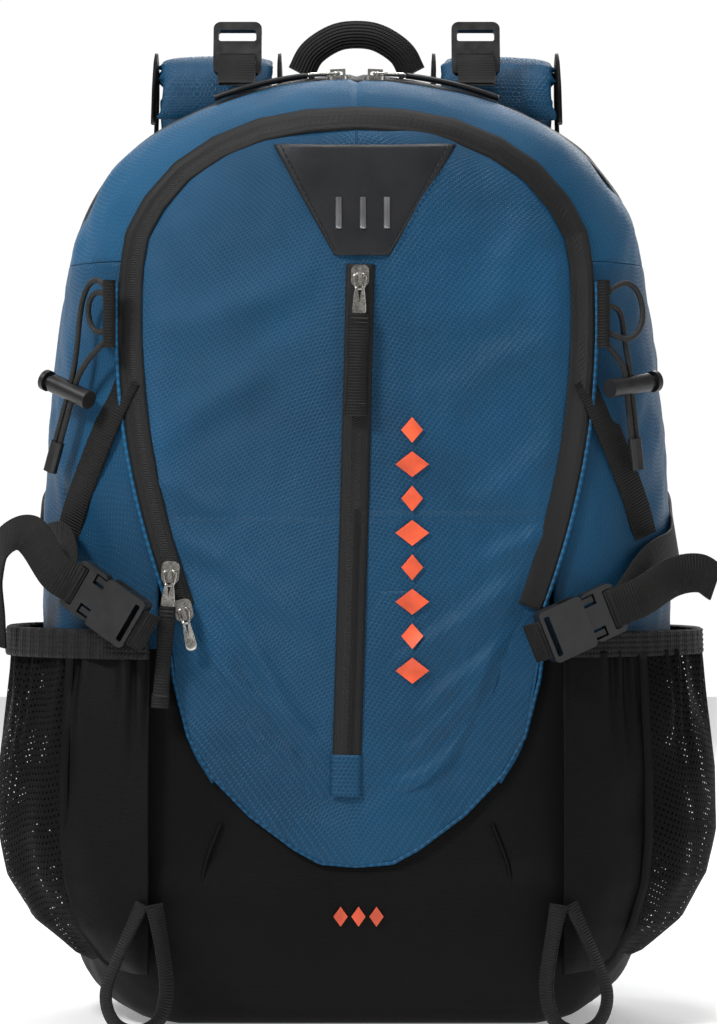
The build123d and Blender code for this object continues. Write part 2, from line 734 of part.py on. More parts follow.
LIFTER = (64.0, 52.5, 511.0)
adjusters = []
webbing = []
for side, name in ((-1, "left"), (1, "right")):
    lifter_plane = placed((side * LIFTER[0], *LIFTER[1:]), (0, -0.3, -0.95), (0, -0.95, 0.3))
    export(ladder_lock(lifter_plane), f"ladder_lock_{name}")
    adjusters.append(ladder_lock(placed((side * 108, 79, 158.5), (side * 0.2, -0.05, -0.97), (0, 1, 0))).solid())
    lower_end = Vector(side * 139, 60.5, 44)
    upper_end = Vector(side * 112, 77.5, 141)
    run = lower_end - upper_end
    angle = side * asin(LIFTER[0] / CROWN_RADIUS)
    crown_point = ((CROWN_RADIUS + 12) * sin(angle), 30, BACK_TOP + 3 - CROWN_RADIUS * (1 - cos(angle)))
    for plane, length in (
        (placed((upper_end + lower_end) * 0.5, tuple(run), (0, 1, 0.2)), run.length),
        (placed(crown_point, (0, -1, 0.15), (sin(angle), 0, cos(angle))), 16),
    ):
        with BuildPart() as strip:
            with BuildSketch(plane):
                Rectangle(length, WEBBING)
            extrude(amount=1.6)
        webbing.append(strip.part.solid())
export(Part(adjusters), "strap_adjusters")
export(Part(webbing), "harness_webbing")
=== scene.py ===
"""Hiking daypack: sewn ripstop shell, stretch side pockets, zips, buckles, bungees and padded harness.

Shapes are worked out in millimetres in the part's own frame and written to Blender in metres.
"""

import math

import bmesh
import bpy
import numpy as np
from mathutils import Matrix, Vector, noise
from mathutils.bvhtree import BVHTree
from mathutils.kdtree import KDTree


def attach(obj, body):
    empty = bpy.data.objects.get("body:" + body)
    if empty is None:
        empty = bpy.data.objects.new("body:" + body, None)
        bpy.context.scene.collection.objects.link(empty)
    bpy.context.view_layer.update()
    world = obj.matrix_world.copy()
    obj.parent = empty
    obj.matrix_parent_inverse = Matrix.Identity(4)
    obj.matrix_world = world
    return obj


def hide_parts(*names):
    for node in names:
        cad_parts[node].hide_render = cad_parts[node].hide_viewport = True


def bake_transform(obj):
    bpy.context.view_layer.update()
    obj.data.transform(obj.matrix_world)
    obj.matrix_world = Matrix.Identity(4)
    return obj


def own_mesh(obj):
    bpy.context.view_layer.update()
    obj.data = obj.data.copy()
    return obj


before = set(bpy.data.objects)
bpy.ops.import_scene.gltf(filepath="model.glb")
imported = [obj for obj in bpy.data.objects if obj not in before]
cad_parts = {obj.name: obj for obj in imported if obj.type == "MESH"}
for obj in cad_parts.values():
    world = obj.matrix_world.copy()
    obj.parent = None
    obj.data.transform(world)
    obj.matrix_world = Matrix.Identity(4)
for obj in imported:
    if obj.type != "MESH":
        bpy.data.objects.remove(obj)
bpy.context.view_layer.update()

MM = 0.001
SIDES = ((-1, "left"), (1, "right"))
FRONT_Y, LEAN = -98.0, math.tan(math.radians(4))
ZIP_Y, ZIP_HALF = -10.0, 5.0
HINGE_Z = 389.0
BACK_Y = 58.0
CROWN_RADIUS, ZIP_TOP = 210.0, 486.0


# ---------------- camera and cords

CAMERA_DISTANCE = 2.05
CAMERA_HEIGHT = 0.262
VIEW_HEIGHT = 0.537     # what the camera sees at the middle of the bag, in metres
SENSOR = 24
camera_data = bpy.data.cameras.new("camera")
camera = bpy.data.objects.new("camera", camera_data)
bpy.context.scene.collection.objects.link(camera)
camera.location = (0.001, -CAMERA_DISTANCE, CAMERA_HEIGHT)
camera.rotation_euler = (math.radians(90), 0, 0)
camera_data.sensor_fit = "VERTICAL"
camera_data.sensor_height = SENSOR
camera_data.lens = SENSOR * CAMERA_DISTANCE / VIEW_HEIGHT
camera_data.clip_end = 20
bpy.context.scene.camera = camera


def v3(x, y, z):
    return np.array((x, y, z), float)


def bungee_point(side, p, q, w):
    """Point over a front corner: p outward, q up from z = 340, w off the fabric."""
    return v3(side * (136 + 0.78 * p + 0.62 * w), -66 + 0.62 * p - 0.78 * w, 340 + q)


LOCKS = {"left": (-1, 6.0, -17.0, 20.0), "right": (1, -3.0, -14.0, 8.0)}
CORD_HEIGHT = 6.5
CORD_DIAMETER = 3.0
ROUTES = {
    ("left", "outer"): [
        (-14, 36, 3), (-9.5, 40, 3), (-3, 38, 3), (1.5, 30, 3), (3.2, 19, 3.5), (3.2, 7, 5),
    ],
    ("left", "inner"): [(-14, 8, 3), (-9, 4, 3.5), (-4, -1, 5)],
    ("left", "loop"): [
        (-14, 32, 3), (-9, 34, 3), (-3.5, 30, 3), (-2.2, 22.5, 3), (-5, 15, 3), (-10, 12, 3), (-14, 14, 3),
    ],
    ("right", "outer"): [(-14, 26, 3), (-8, 26, 3), (-4.5, 20, 3.5), (-4.2, 9, 4.5)],
    ("right", "inner"): [(-14, 6, 3), (-10.5, 2, 4), (-8, -1.5, 5)],
    ("right", "loop"): [
        (-14, 33, 3.5), (-7, 38.5, 5), (1, 36.5, 7), (5, 28, 8), (4.5, 18, 9), (-0.5, 11, 9),
        (-7, 8.5, 7.5), (-14, 12.5, 3.5),
    ],
}


def lock_point(name, along, below, w):
    """Point at a cord lock: along its barrel towards the button, below it down the cords."""
    side, p, q, tilt = LOCKS[name]
    c, s = math.cos(math.radians(tilt)), math.sin(math.radians(tilt))
    return bungee_point(side, p + along * c + below * s, q + along * s - below * c, w)


def cord_route(name, strand):
    points = [bungee_point(LOCKS[name][0], *point) for point in ROUTES[name, strand]]
    if strand != "loop":
        offset = 1.7 if strand == "outer" else -1.7
        points += [lock_point(name, offset, below, CORD_HEIGHT) for below in (-9, -2, 20, 27)]
    return points


def link(obj):
    bpy.context.scene.collection.objects.link(obj)
    return obj


def cord_curve(name, strand):
    """Elastic cord on one NURBS line through its listed route."""
    curve = bpy.data.curves.new(f"bungee_{name}_{strand}_cord", "CURVE")
    curve.dimensions = "3D"
    route = cord_route(name, strand)
    spline = curve.splines.new("NURBS")
    spline.points.add(len(route) - 1)
    for point, place in zip(spline.points, route):
        point.co = (*(place * MM), 1)
        point.radius = CORD_DIAMETER / 2 * MM
    spline.order_u = 3
    spline.use_endpoint_u = True
    spline.resolution_u = 12
    curve.bevel_depth = 1.0
    curve.bevel_resolution = 4
    obj = link(bpy.data.objects.new(curve.name, curve))
    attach(obj, "root")
    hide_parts(f"bungee_{name}_{strand}")
    return obj


cords = {key: cord_curve(*key) for key in ROUTES}


# ---------------- mesh helpers

def mesh_object(name, points, faces):
    """Smooth-shaded mesh object from points in millimetres."""
    mesh = bpy.data.meshes.new(name)
    mesh.from_pydata([tuple(p) for p in np.asarray(points, float) * MM], [], faces)
    mesh.validate()
    mesh.update()
    mesh.shade_smooth()
    return link(bpy.data.objects.new(name, mesh))


def grid_faces(rows, columns, closed=False):
    """Faces of a grid of points stored row by row; closed joins each row's ends."""
    faces = []
    for i in range(rows - 1):
        for j in range(columns if closed else columns - 1):
            k = (j + 1) % columns
            faces.append((i * columns + j, i * columns + k, (i + 1) * columns + k, (i + 1) * columns + j))
    return faces


def solidify(obj, thickness):
    """Thickness behind the surface."""
    modifier = obj.modifiers.new("thickness", "SOLIDIFY")
    modifier.thickness = thickness * MM
    return obj


def finish_piece(obj, material, body, slot, *replaced):
    """Material, body and replaced CAD nodes of one visible piece; no body where it blends. The slot
    argument is not used.
    """
    obj.data.materials.clear()
    obj.data.materials.append(material)
    if body:
        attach(obj, body)
    if replaced:
        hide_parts(*replaced)
    return obj


def crease(point, size, seed=0.0):
    """Smooth fold pattern from -1 to 1 over the fabric."""
    x, y, z = (float(c) / size for c in point)
    return noise.noise(Vector((x + seed, y - seed, z * 1.3 + 2 * seed)))


def mirrored(side, points):
    return np.array(points, float) * (side, 1, 1)


def catmull(points, count, closed=False):
    """Evenly spread points on a smooth curve through the given ones."""
    points = np.asarray(points, float)
    if closed:
        padded = np.vstack([points[-1], points, points[0], points[1]])
    else:
        padded = np.vstack([2 * points[0] - points[1], points, 2 * points[-1] - points[-2]])
    dense = []
    for a, b, c, d in zip(padded, padded[1:], padded[2:], padded[3:]):
        for t in np.linspace(0, 1, 24, endpoint=False):
            dense.append(0.5 * (2 * b + (c - a) * t + (2 * a - 5 * b + 4 * c - d) * t ** 2
                                + (3 * b - a - 3 * c + d) * t ** 3))
    dense.append(padded[-2])
    return resample(np.array(dense), count)


def resample(line, count):
    """Points at equal steps along a polyline."""
    steps = np.linalg.norm(np.diff(line, axis=0), axis=1)
    along = np.concatenate([[0], np.cumsum(steps)])
    targets = np.linspace(0, along[-1], count)
    return np.stack([np.interp(targets, along, line[:, i]) for i in range(line.shape[1])], 1)


def unit(vectors):
    vectors = np.asarray(vectors, float)
    return vectors / np.maximum(np.linalg.norm(vectors, axis=-1, keepdims=True), 1e-9)


def line_at(line, place):
    """Point of an evenly spaced line at an index that may fall between its points."""
    return np.array([np.interp(place, np.arange(len(line)), column) for column in line.T])


def line_normal(line, place, reach):
    """Direction across a flat line at an index, from the points that are reach steps away."""
    direction = unit(line_at(line, place + reach) - line_at(line, place - reach))
    return np.array([direction[1], -direction[0]])


def sweep(name, line, normals, section, closed=False, scale=1.0):
    """Sweeps a closed section of (across, up) points along a line; scale widens it."""
    line, section = np.asarray(line, float), np.asarray(section, float)
    if closed:
        tangents = unit(np.roll(line, -1, 0) - np.roll(line, 1, 0))
    else:
        tangents = unit(np.gradient(line, axis=0))
    across = unit(np.cross(tangents, np.broadcast_to(normals, line.shape)))
    up = unit(np.cross(across, tangents))
    widened = section[None, :, :1] * np.broadcast_to(scale, len(line))[:, None, None]
    points = line[:, None] + across[:, None] * widened + up[:, None] * section[None, :, 1:]
    rows, count = len(line), len(section)
    faces = grid_faces(rows, count, closed=True)
    if closed:
        last = (rows - 1) * count
        faces += [(last + j, last + (j + 1) % count, (j + 1) % count, j) for j in range(count)]
    else:
        faces += [tuple(range(count)), tuple((rows - 1) * count + j for j in reversed(range(count)))]
    return mesh_object(name, points.reshape(-1, 3), faces)


def strap_section(width, thickness, edge=0.45):
    """Flat strap with rounded edges."""
    half, t = width / 2, thickness / 2
    inner = half - t * edge
    return [(-inner, -t), (0, -t), (inner, -t), (half, 0), (inner, t), (0, t), (-inner, t), (-half, 0)]


def round_section(radius, count=10):
    turn = np.linspace(0, 2 * math.pi, count, endpoint=False)
    return [(radius * math.cos(a), radius * math.sin(a)) for a in turn]


# ---------------- body form

def half_outline():
    """Right half of the bag's front outline, from the crown to the base's edge."""
    def arc(point, radius, start, end, count):
        turns = np.radians(np.linspace(start, end, count))
        x = point[0] + radius * (np.sin(turns) - math.sin(math.radians(start)))
        z = point[1] - radius * (math.cos(math.radians(start)) - np.cos(turns))
        return np.stack([x, z], 1)
    crown = arc((0, ZIP_TOP), CROWN_RADIUS, 0, 27, 24)
    shoulder = arc(crown[-1], 98, 27, 80, 24)
    flank = arc(shoulder[-1], 939, 80, 90, 20)
    lower = catmull([flank[-1], (160.5, 150), (154, 75), (141, 30), (118, 6), (95, 0)], 40)
    return np.vstack([crown[:-1], shoulder[:-1], flank[:-1], lower])


# Depth rows: half-width, top, bottom, y at the base and how much it leans back with height
HALF_WIDTH = 161.6
DEPTH_ROWS = np.array([
    (158.6, 496, 0, BACK_Y, 0),
    (161.0, 491.5, 0, 24, 0),
    (HALF_WIDTH, 487, 0, -8, 0),
    (158.0, 483, 0.5, -33, 0.006),
    (149.5, 476, 5, -56, 0.022),
    (137.0, 468.5, 24, -78, 0.05),
    (123.0, 460, 52, -91, LEAN),
    (105.0, 446, 82, -95.5, LEAN),
    (75.0, 412, 125, -96, LEAN),
    (36.0, 330, 180, -96.2, LEAN),
    (1.0, 262, 258, -96.2, LEAN),
])
AROUND = 320            # points around the outline
ROW_STEP = 40.0         # spacing of the depth rows on the smooth curve through them
outline_half = resample(half_outline(), AROUND // 2)
OUTLINE = np.vstack([outline_half, (outline_half * (-1, 1))[::-1]])


def body_points(depths):
    """Grid of body points: one row per depth row value, one column per place around the outline."""
    rows = []
    index = np.arange(len(DEPTH_ROWS))
    curve = catmull(np.column_stack([DEPTH_ROWS, index * ROW_STEP]), 900)
    place = curve[:, 5] / ROW_STEP
    for depth in depths:
        half, top, bottom, y, lean = [np.interp(depth, place, curve[:, i]) for i in range(5)]
        z = bottom + OUTLINE[:, 1] * (top - bottom) / ZIP_TOP
        rows.append(np.stack([OUTLINE[:, 0] * half / HALF_WIDTH, y + lean * z, z], 1))
    return np.array(rows)


FORM_ROWS = np.linspace(0, 10, 90)
form_grid = body_points(FORM_ROWS)
form_faces = grid_faces(len(FORM_ROWS), AROUND, closed=True)
form = BVHTree.FromPolygons([tuple(p) for p in form_grid.reshape(-1, 3)], form_faces)


def on_front(x, z, lift=0.0):
    """Point of the bag's front at this width and height, lifted off the fabric."""
    place, normal, _, _ = form.ray_cast(Vector((x, -400, z)), Vector((0, 1, 0)))
    if place is None:
        place, normal, _, _ = form.find_nearest(Vector((x, 0, z)))
    if normal.y > 0:
        normal = -normal
    return np.array(place) + np.array(normal) * lift


def on_body(point, lift=0.0):
    """Nearest point of the bag to this one, lifted off the fabric."""
    place, normal, _, _ = form.find_nearest(Vector(point))
    centre = Vector((0, 10, 240))
    if normal.dot(place - centre) < 0:
        normal = -normal
    return np.array(place) + np.array(normal) * lift


def set_weave(obj, across, along):
    """Stores each point's place on the cloth, in millimetres, for the weave of its material."""
    for name, values in (("across", across), ("along", along)):
        attribute = obj.data.attributes.new(name, "FLOAT", "POINT")
        attribute.data.foreach_set("value", np.asarray(values, np.float32).ravel())
    return obj


def grid_object(name, grid, closed=False):
    """Grid of points as a mesh, with its weave following the grid's own lengths."""
    grid = np.asarray(grid, float)
    rows, columns = grid.shape[:2]
    obj = mesh_object(name, grid.reshape(-1, 3), grid_faces(rows, columns, closed))
    across = np.zeros((rows, columns))
    across[:, 1:] = np.cumsum(np.linalg.norm(np.diff(grid, axis=1), axis=2), 1)
    across -= across[:, columns // 2:columns // 2 + 1]
    along = np.zeros((rows, columns))
    along[1:] = np.cumsum(np.linalg.norm(np.diff(grid, axis=0), axis=2), 0)
    return set_weave(obj, across, along)


# ---------------- materials

class Shader:
    """Node material with short calls for the nodes that the fabrics share."""

    def __init__(self, name, color, roughness, metallic=0.0, specular=0.4, sheen=0.0):
        self.material = bpy.data.materials.new(name)
        self.material.use_nodes = True
        self.tree = self.material.node_tree
        self.bsdf = self.tree.nodes["Principled BSDF"]
        for socket, value in {
            "Base Color": (*color, 1), "Roughness": roughness, "Metallic": metallic,
            "Specular IOR Level": specular, "Sheen Weight": sheen, "Sheen Roughness": 0.4,
        }.items():
            self.bsdf.inputs[socket].default_value = value

    def add(self, kind, inputs=(), **settings):
        node = self.tree.nodes.new(kind)
        for key, value in settings.items():
            setattr(node, key, value)
        for index, value in enumerate(inputs):
            if isinstance(value, bpy.types.NodeSocket):
                self.tree.links.new(value, node.inputs[index])
            elif value is not None:
                node.inputs[index].default_value = value
        return node

    def math(self, operation, *inputs, clamp=False):
        return self.add("ShaderNodeMath", inputs, operation=operation, use_clamp=clamp).outputs[0]

    def mul(self, a, b, clamp=False):
        return self.math("MULTIPLY", a, b, clamp=clamp)

    def mul_add(self, a, b, c, clamp=False):
        return self.math("MULTIPLY_ADD", a, b, c, clamp=clamp)

    def weave_place(self):
        """Across and along the cloth, in millimetres."""
        across = self.add("ShaderNodeAttribute", attribute_name="across").outputs["Fac"]
        along = self.add("ShaderNodeAttribute", attribute_name="along").outputs["Fac"]
        return across, along

    def texture(self, kind, scale, **settings):
        """Texture over the object, with scale in features per metre."""
        node = self.add(kind, **settings)
        self.tree.links.new(self.add("ShaderNodeTexCoord").outputs["Object"], node.inputs["Vector"])
        node.inputs["Scale"].default_value = scale
        return node

    def noise(self, scale, detail=3.0, distortion=0.0):
        node = self.texture("ShaderNodeTexNoise", scale)
        node.inputs["Detail"].default_value = detail
        node.inputs["Distortion"].default_value = distortion
        return node.outputs["Fac"]

    def ramp(self, value, low, high, to_low=0.0, to_high=1.0):
        return self.add("ShaderNodeMapRange", (value, low, high, to_low, to_high)).outputs[0]

    def tint(self, factor, dark, light):
        """Base colour between two shades."""
        mix = self.add("ShaderNodeMix", data_type="RGBA")
        self.tree.links.new(factor, mix.inputs["Factor"])
        mix.inputs["A"].default_value = (*dark, 1)
        mix.inputs["B"].default_value = (*light, 1)
        self.tree.links.new(mix.outputs["Result"], self.bsdf.inputs["Base Color"])

    def rough(self, value):
        self.tree.links.new(value, self.bsdf.inputs["Roughness"])

    def bump(self, height, strength, distance):
        node = self.add("ShaderNodeBump")
        node.inputs["Strength"].default_value = strength
        node.inputs["Distance"].default_value = distance * MM
        self.tree.links.new(height, node.inputs["Height"])
        self.tree.links.new(node.outputs["Normal"], self.bsdf.inputs["Normal"])

    def wave(self, place, pitch, sharp=1.0):
        """0 to 1 ribs across a coordinate."""
        turned = self.math("SINE", self.mul(place, 2 * math.pi / pitch))
        lifted = self.mul_add(turned, 0.5, 0.5)
        return self.math("POWER", lifted, sharp)

    def hexagons(self, across, along, pitch):
        """Distance from the middle of honeycomb cells, 0 to 0.5."""
        def cell(shift):
            parts = []
            for place, period in ((across, 1.0), (along, math.sqrt(3))):
                moved = self.mul_add(place, 1 / pitch, 900 * period + shift * period / 2)
                parts.append(self.math("SUBTRACT", self.math("MODULO", moved, period), period / 2))
            x, y = [self.math("ABSOLUTE", part) for part in parts]
            slant = self.mul_add(y, math.sqrt(3) / 2, self.mul(x, 0.5))
            return self.math("MAXIMUM", x, slant)
        return self.math("MINIMUM", cell(0), cell(1))


def shade(color, factor):
    return tuple(min(1.0, c * factor) for c in color)


def ripstop(name, color):
    """Honeycomb ripstop nylon: pale cell outlines, a little gloss and large soft patches of painted light
    and shade.
    """
    s = Shader(name, color, 0.5, specular=0.24)
    across, along = s.weave_place()
    cells = s.hexagons(across, along, 2.3)
    lines = s.ramp(cells, 0.36, 0.49)
    threads = s.mul(s.wave(across, 0.55), s.wave(along, 0.55))
    # Large soft lighter and darker patches: painted light and shade, standing in for the play of light over
    # the folds.
    painted_light_patches = s.ramp(s.noise(9, 4, 0.4), 0.3, 0.7)
    mottled = s.mul_add(painted_light_patches, 0.42, s.mul(lines, 0.48))
    factor = s.mul_add(threads, 0.22, mottled, clamp=True)
    s.tint(factor, shade(color, 0.55), shade(color, 1.95))
    s.rough(s.ramp(lines, 0, 1, 0.5, 0.36))
    s.bump(s.mul_add(lines, 0.8, s.mul(threads, 0.35)), 0.55, 0.35)
    return s.material


def plain_weave(name, color):
    """Black plain-woven nylon with faint cross ribs."""
    pitch = 0.9
    s = Shader(name, color, 0.55, specular=0.11)
    across, along = s.weave_place()
    ribs = s.wave(along, pitch)
    threads = s.mul(s.wave(across, pitch * 0.8), ribs)
    cloudy = s.ramp(s.noise(14, 4), 0.3, 0.7)
    factor = s.mul_add(threads, 0.45, s.mul(cloudy, 0.5), clamp=True)
    s.tint(factor, shade(color, 0.6), shade(color, 1.9))
    s.bump(s.math("ADD", threads, s.mul(ribs, 0.5)), 0.5, 0.25)
    return s.material


def ribbed(name, color, pitch, along_ribs=False):
    """Webbing or elastic: ribs across the strap over a fine herringbone."""
    s = Shader(name, color, 0.6, specular=0.18, sheen=0.02)
    across, along = s.weave_place()
    main, other = (across, along) if along_ribs else (along, across)
    ribs = s.wave(main, pitch)
    slant = s.wave(s.math("ADD", other, s.mul(main, 0.6)), pitch * 0.75)
    fuzz = s.ramp(s.noise(420, 2), 0.3, 0.7)
    height = s.mul_add(slant, 0.35, ribs)
    factor = s.mul_add(fuzz, 0.25, s.mul(height, 0.55), clamp=True)
    s.tint(factor, shade(color, 0.45), shade(color, 2.1))
    s.bump(height, 0.8, 0.5)
    return s.material


def coil_zip(name, color):
    """Reverse coil zip tape: fine slanted coil along the middle, woven tape at its sides."""
    s = Shader(name, color, 0.5, specular=0.3, sheen=0.03)
    across, along = s.weave_place()
    middle = s.math("ABSOLUTE", across)
    coil_zone = s.ramp(middle, 3.0, 2.4)
    coil = s.mul(s.wave(s.mul_add(middle, 0.45, along), 1.25, 1.5), coil_zone)
    tape = s.mul(s.wave(along, 0.8), s.wave(across, 0.7))
    height = s.math("ADD", coil, s.mul(tape, 0.4))
    s.tint(s.mul(height, 0.6, clamp=True), shade(color, 0.55), shade(color, 2.2))
    s.bump(height, 0.8, 0.5)
    return s.material


def knit_mesh(name, color):
    """Stretch mesh with rows of small open holes."""
    s = Shader(name, color, 0.7, specular=0.08)
    across, along = s.weave_place()
    row = s.math("FLOOR", s.mul(along, 1 / 3.2))
    shift = s.mul(s.math("MODULO", row, 2.0), 1.3)
    x = s.wave(s.math("ADD", across, shift), 2.6)
    z = s.wave(along, 3.2)
    solid = s.math("SUBTRACT", 1.0, s.mul(x, z))
    s.tint(s.ramp(solid, 0.1, 0.9), shade(color, 0.35), shade(color, 1.7))
    s.tree.links.new(s.ramp(solid, 0.16, 0.24), s.bsdf.inputs["Alpha"])
    s.bump(solid, 0.7, 0.5)
    return s.material


def spacer_mesh(name, color):
    """Thick spacer mesh of the back padding: small round dimples."""
    s = Shader(name, color, 0.75, specular=0.2, sheen=0.1)
    across, along = s.weave_place()
    cells = s.hexagons(across, along, 3.4)
    dimple = s.ramp(cells, 0.15, 0.4)
    s.tint(dimple, shade(color, 0.3), shade(color, 1.8))
    s.bump(dimple, 0.9, 0.9)
    return s.material


def leatherlike(name, color):
    """Coated synthetic leather with a fine grain."""
    s = Shader(name, color, 0.5, specular=0.4)
    grain = s.texture("ShaderNodeTexVoronoi", 900, feature="DISTANCE_TO_EDGE")
    height = s.ramp(grain.outputs["Distance"], 0.0, 0.3)
    s.tint(s.mul_add(s.noise(12, 3), 0.6, s.mul(height, 0.3)),
           shade(color, 0.75), shade(color, 1.35))
    s.rough(s.ramp(s.noise(60, 3), 0.3, 0.7, 0.42, 0.58))
    s.bump(height, 0.35, 0.15)
    return s.material


def moulded(name, color, roughness=0.38):
    """Moulded plastic with a fine spark-eroded texture and soft patches of tone and roughness."""
    s = Shader(name, color, roughness, specular=0.5)
    s.tint(s.ramp(s.noise(45, 3), 0.35, 0.7), shade(color, 0.8), shade(color, 1.7))
    s.rough(s.ramp(s.noise(160, 3), 0.3, 0.7, roughness - 0.08, roughness + 0.1))
    s.bump(s.noise(1800, 2), 0.25, 0.08)
    return s.material


def metal(name, color):
    """Plated zinc: smooth, lightly scratched, with soft patches of tone."""
    roughness = 0.28
    s = Shader(name, color, roughness, metallic=1.0)
    scratches = s.noise(700, 4, 1.5)
    s.tint(s.ramp(s.noise(260, 4), 0.25, 0.75), shade(color, 0.55), shade(color, 1.15))
    s.rough(s.ramp(scratches, 0.3, 0.7, roughness - 0.1, roughness + 0.16))
    s.bump(scratches, 0.15, 0.05)
    return s.material


def braided(name, color):
    """Braided elastic cord: small cells over the cord for the crossing strands."""
    s = Shader(name, color, 0.6, specular=0.3, sheen=0.05)
    strands = s.texture("ShaderNodeTexVoronoi", 1300).outputs["Distance"]
    s.tint(strands, shade(color, 1.8), shade(color, 0.5))
    s.bump(strands, 0.7, 0.3)
    return s.material


BLUE = (0.0024, 0.046, 0.104)
BLACK = (0.0017, 0.0017, 0.0018)
blue = ripstop("ripstop_blue", BLUE)
# Lighter copy of the same blue ripstop, used for the top section and the piping; on the top section it is
# painted light, standing in for the light from above.
blue_painted_lighter = ripstop("ripstop_blue_painted_lighter", (0.0040, 0.060, 0.132))
black = plain_weave("black_nylon", BLACK)
webbing = ribbed("webbing_black", (0.0055, 0.0054, 0.0052), 1.5)
loop_webbing = ribbed("webbing_loop", (0.0055, 0.0054, 0.0052), 1.7, along_ribs=True)
elastic = ribbed("elastic_black", (0.006, 0.006, 0.006), 1.9, along_ribs=True)
zip_black = coil_zip("zip_black", (0.0042, 0.0042, 0.0042))
pocket_mesh = knit_mesh("mesh_black", (0.0022, 0.0022, 0.0022))
back_mesh = spacer_mesh("spacer_black", (0.012, 0.012, 0.013))
patch_look = leatherlike("patch_grey", (0.0055, 0.0062, 0.0078))
plastic = moulded("acetal_black", (0.0055, 0.0055, 0.006))
steel = metal("plated_zinc", (0.52, 0.50, 0.46))
cord_black = braided("cord_black", (0.012, 0.012, 0.012))
thread_black = ribbed("thread_black", (0.02, 0.02, 0.02), 0.8)
orange = moulded("print_orange", (0.62, 0.075, 0.025), 0.5)
sheet_white = moulded("sheet_white", (0.55, 0.55, 0.53), 0.5)
sheet_grey = moulded("slot_grey", (0.10, 0.10, 0.105), 0.35)


# ---------------- shell

def clip(obj, point, normal):
    """Cuts a mesh by a plane and keeps the side that the normal points to."""
    bm = bmesh.new()
    bm.from_mesh(obj.data)
    bmesh.ops.bisect_plane(bm, geom=bm.verts[:] + bm.edges[:] + bm.faces[:], dist=1e-6,
                           plane_co=Vector(point) * MM, plane_no=normal, clear_inner=True)
    bm.to_mesh(obj.data)
    bm.free()


def shell_piece(name, first, last, rows, cuts, material, body, slot, *replaced):
    """Part of the body's surface between two depth rows, cut by planes, with shallow folds."""
    grid = body_points(np.linspace(first, last, rows))
    for row in grid:
        for point in row:
            flank = min(1.0, max(0.0, (abs(point[0]) - 100) / 30))
            slanted = (point[0], point[1], point[2] - 0.6 * point[1])
            fold = crease(slanted, 34, 3.1) * (1.2 + 1.6 * flank)
            fold += crease(slanted, 13, 8.2) * (0.4 + 0.4 * flank)
            outward = unit(point - v3(0, point[1], 250))
            under = np.interp(point[2], (74, 88), (0, 1)) * np.interp(point[1], (-84, -74), (1, 0))
            point += outward * fold * (1 - 0.7 * under) + v3(0, 2.2, 0) * under
    obj = grid_object(name, grid, closed=True)
    for point, normal in cuts:
        clip(obj, point, normal)
    return finish_piece(solidify(obj, 1.2), material, body, slot, *replaced)


BLACK_TOP = 193.0
UP, DOWN = (0, 0, 1), (0, 0, -1)
shell_piece("side_fabric", 0, 7.2, 96, [((0, 0, BLACK_TOP), UP), ((0, 0, HINGE_Z), DOWN)],
            blue, "root", "blue_fabric", "gusset_left", "gusset_right")
shell_piece("lower_fabric", 0, 10, 120, [((0, 0, BLACK_TOP), DOWN)],
            black, "root", "black_fabric", "lower_panel", "base_panel")
# The top section's front in the lighter blue: painted light from above.
shell_piece("top_front_fabric", 2, 7.2, 60,
            [((0, 0, HINGE_Z + 0.4), UP), ((0, ZIP_Y - ZIP_HALF - 0.4, 0), (0, -1, 0))],
            blue_painted_lighter, "top_lid", "blue_fabric", "lid_panel")
shell_piece("top_rear_fabric", 0, 3, 44, [((0, 0, HINGE_Z), UP), ((0, ZIP_Y + ZIP_HALF, 0), (0, 1, 0))],
            black, "root", "black_fabric", "gusset_top")

# ---------------- front: bowl, panel, band

PANEL_EDGE = [(115, 0), (116.5, 15), (120, 26), (125.4, 37.5), (137, 51), (158, 64.4), (189, 75), (214, 86)]
BOWL_EDGE = [(84.6, 0), (86, 18), (93, 31), (110, 54), (130.6, 74), (149, 84.5), (177.6, 92), (200, 95),
             (214, 97)]
SEAM_Z = 214.0     # where the bowl's rim meets the zip band
BAND_U, BAND_V, BAND_RADIUS = 113.8, 361.0, 420.0


def band_u(z):
    return BAND_U - BAND_RADIUS + math.sqrt(BAND_RADIUS ** 2 - (z - BAND_V) ** 2)


BAND_HALF = [(band_u(z), z) for z in np.linspace(214, 386, 24)] + [
    (110.5, 402), (102, 418), (88, 434), (70, 446), (48, 455), (24, 459.5)]
BAND_TOP = 461.0
band_line = np.array([(-x, z) for x, z in BAND_HALF] + [(0, BAND_TOP)] + BAND_HALF[::-1])


def width_at(edge, z):
    zs, xs = [p[0] for p in edge], [p[1] for p in edge]
    return float(np.interp(z, zs, xs))


def panel_width(z):
    if z < SEAM_Z:
        return width_at(PANEL_EDGE, z)
    right = np.array(BAND_HALF + [(0, BAND_TOP)])
    return float(np.interp(z, right[:, 1], right[:, 0]))


def front_grid(rows, columns, width, lift):
    """Grid over the bag's front: z rows, columns across width(z), lifted by lift(x, z, s)."""
    grid = []
    for z in rows:
        half = max(width(z), 0.6)
        row = []
        for s in np.linspace(-1, 1, columns):
            x = half * s
            row.append(on_front(x, z, lift(x, z, s)))
        grid.append(row)
    return np.array(grid)


def bowl_lift(x, z, s):
    edge = max(0.0, 1 - abs(s)) ** 0.5
    return 1.4 + 1.8 * min(edge, 0.8) + crease((x, 0, z), 30, 5.0) * 1.3 + crease((x, 3, z), 11, 1.0) * 0.5


bowl = front_grid(np.linspace(84.8, 222, 90), 121, lambda z: width_at(BOWL_EDGE, z), bowl_lift)
finish_piece(solidify(grid_object("bowl_fabric", bowl), 0.8), blue, "root", "blue_fabric")

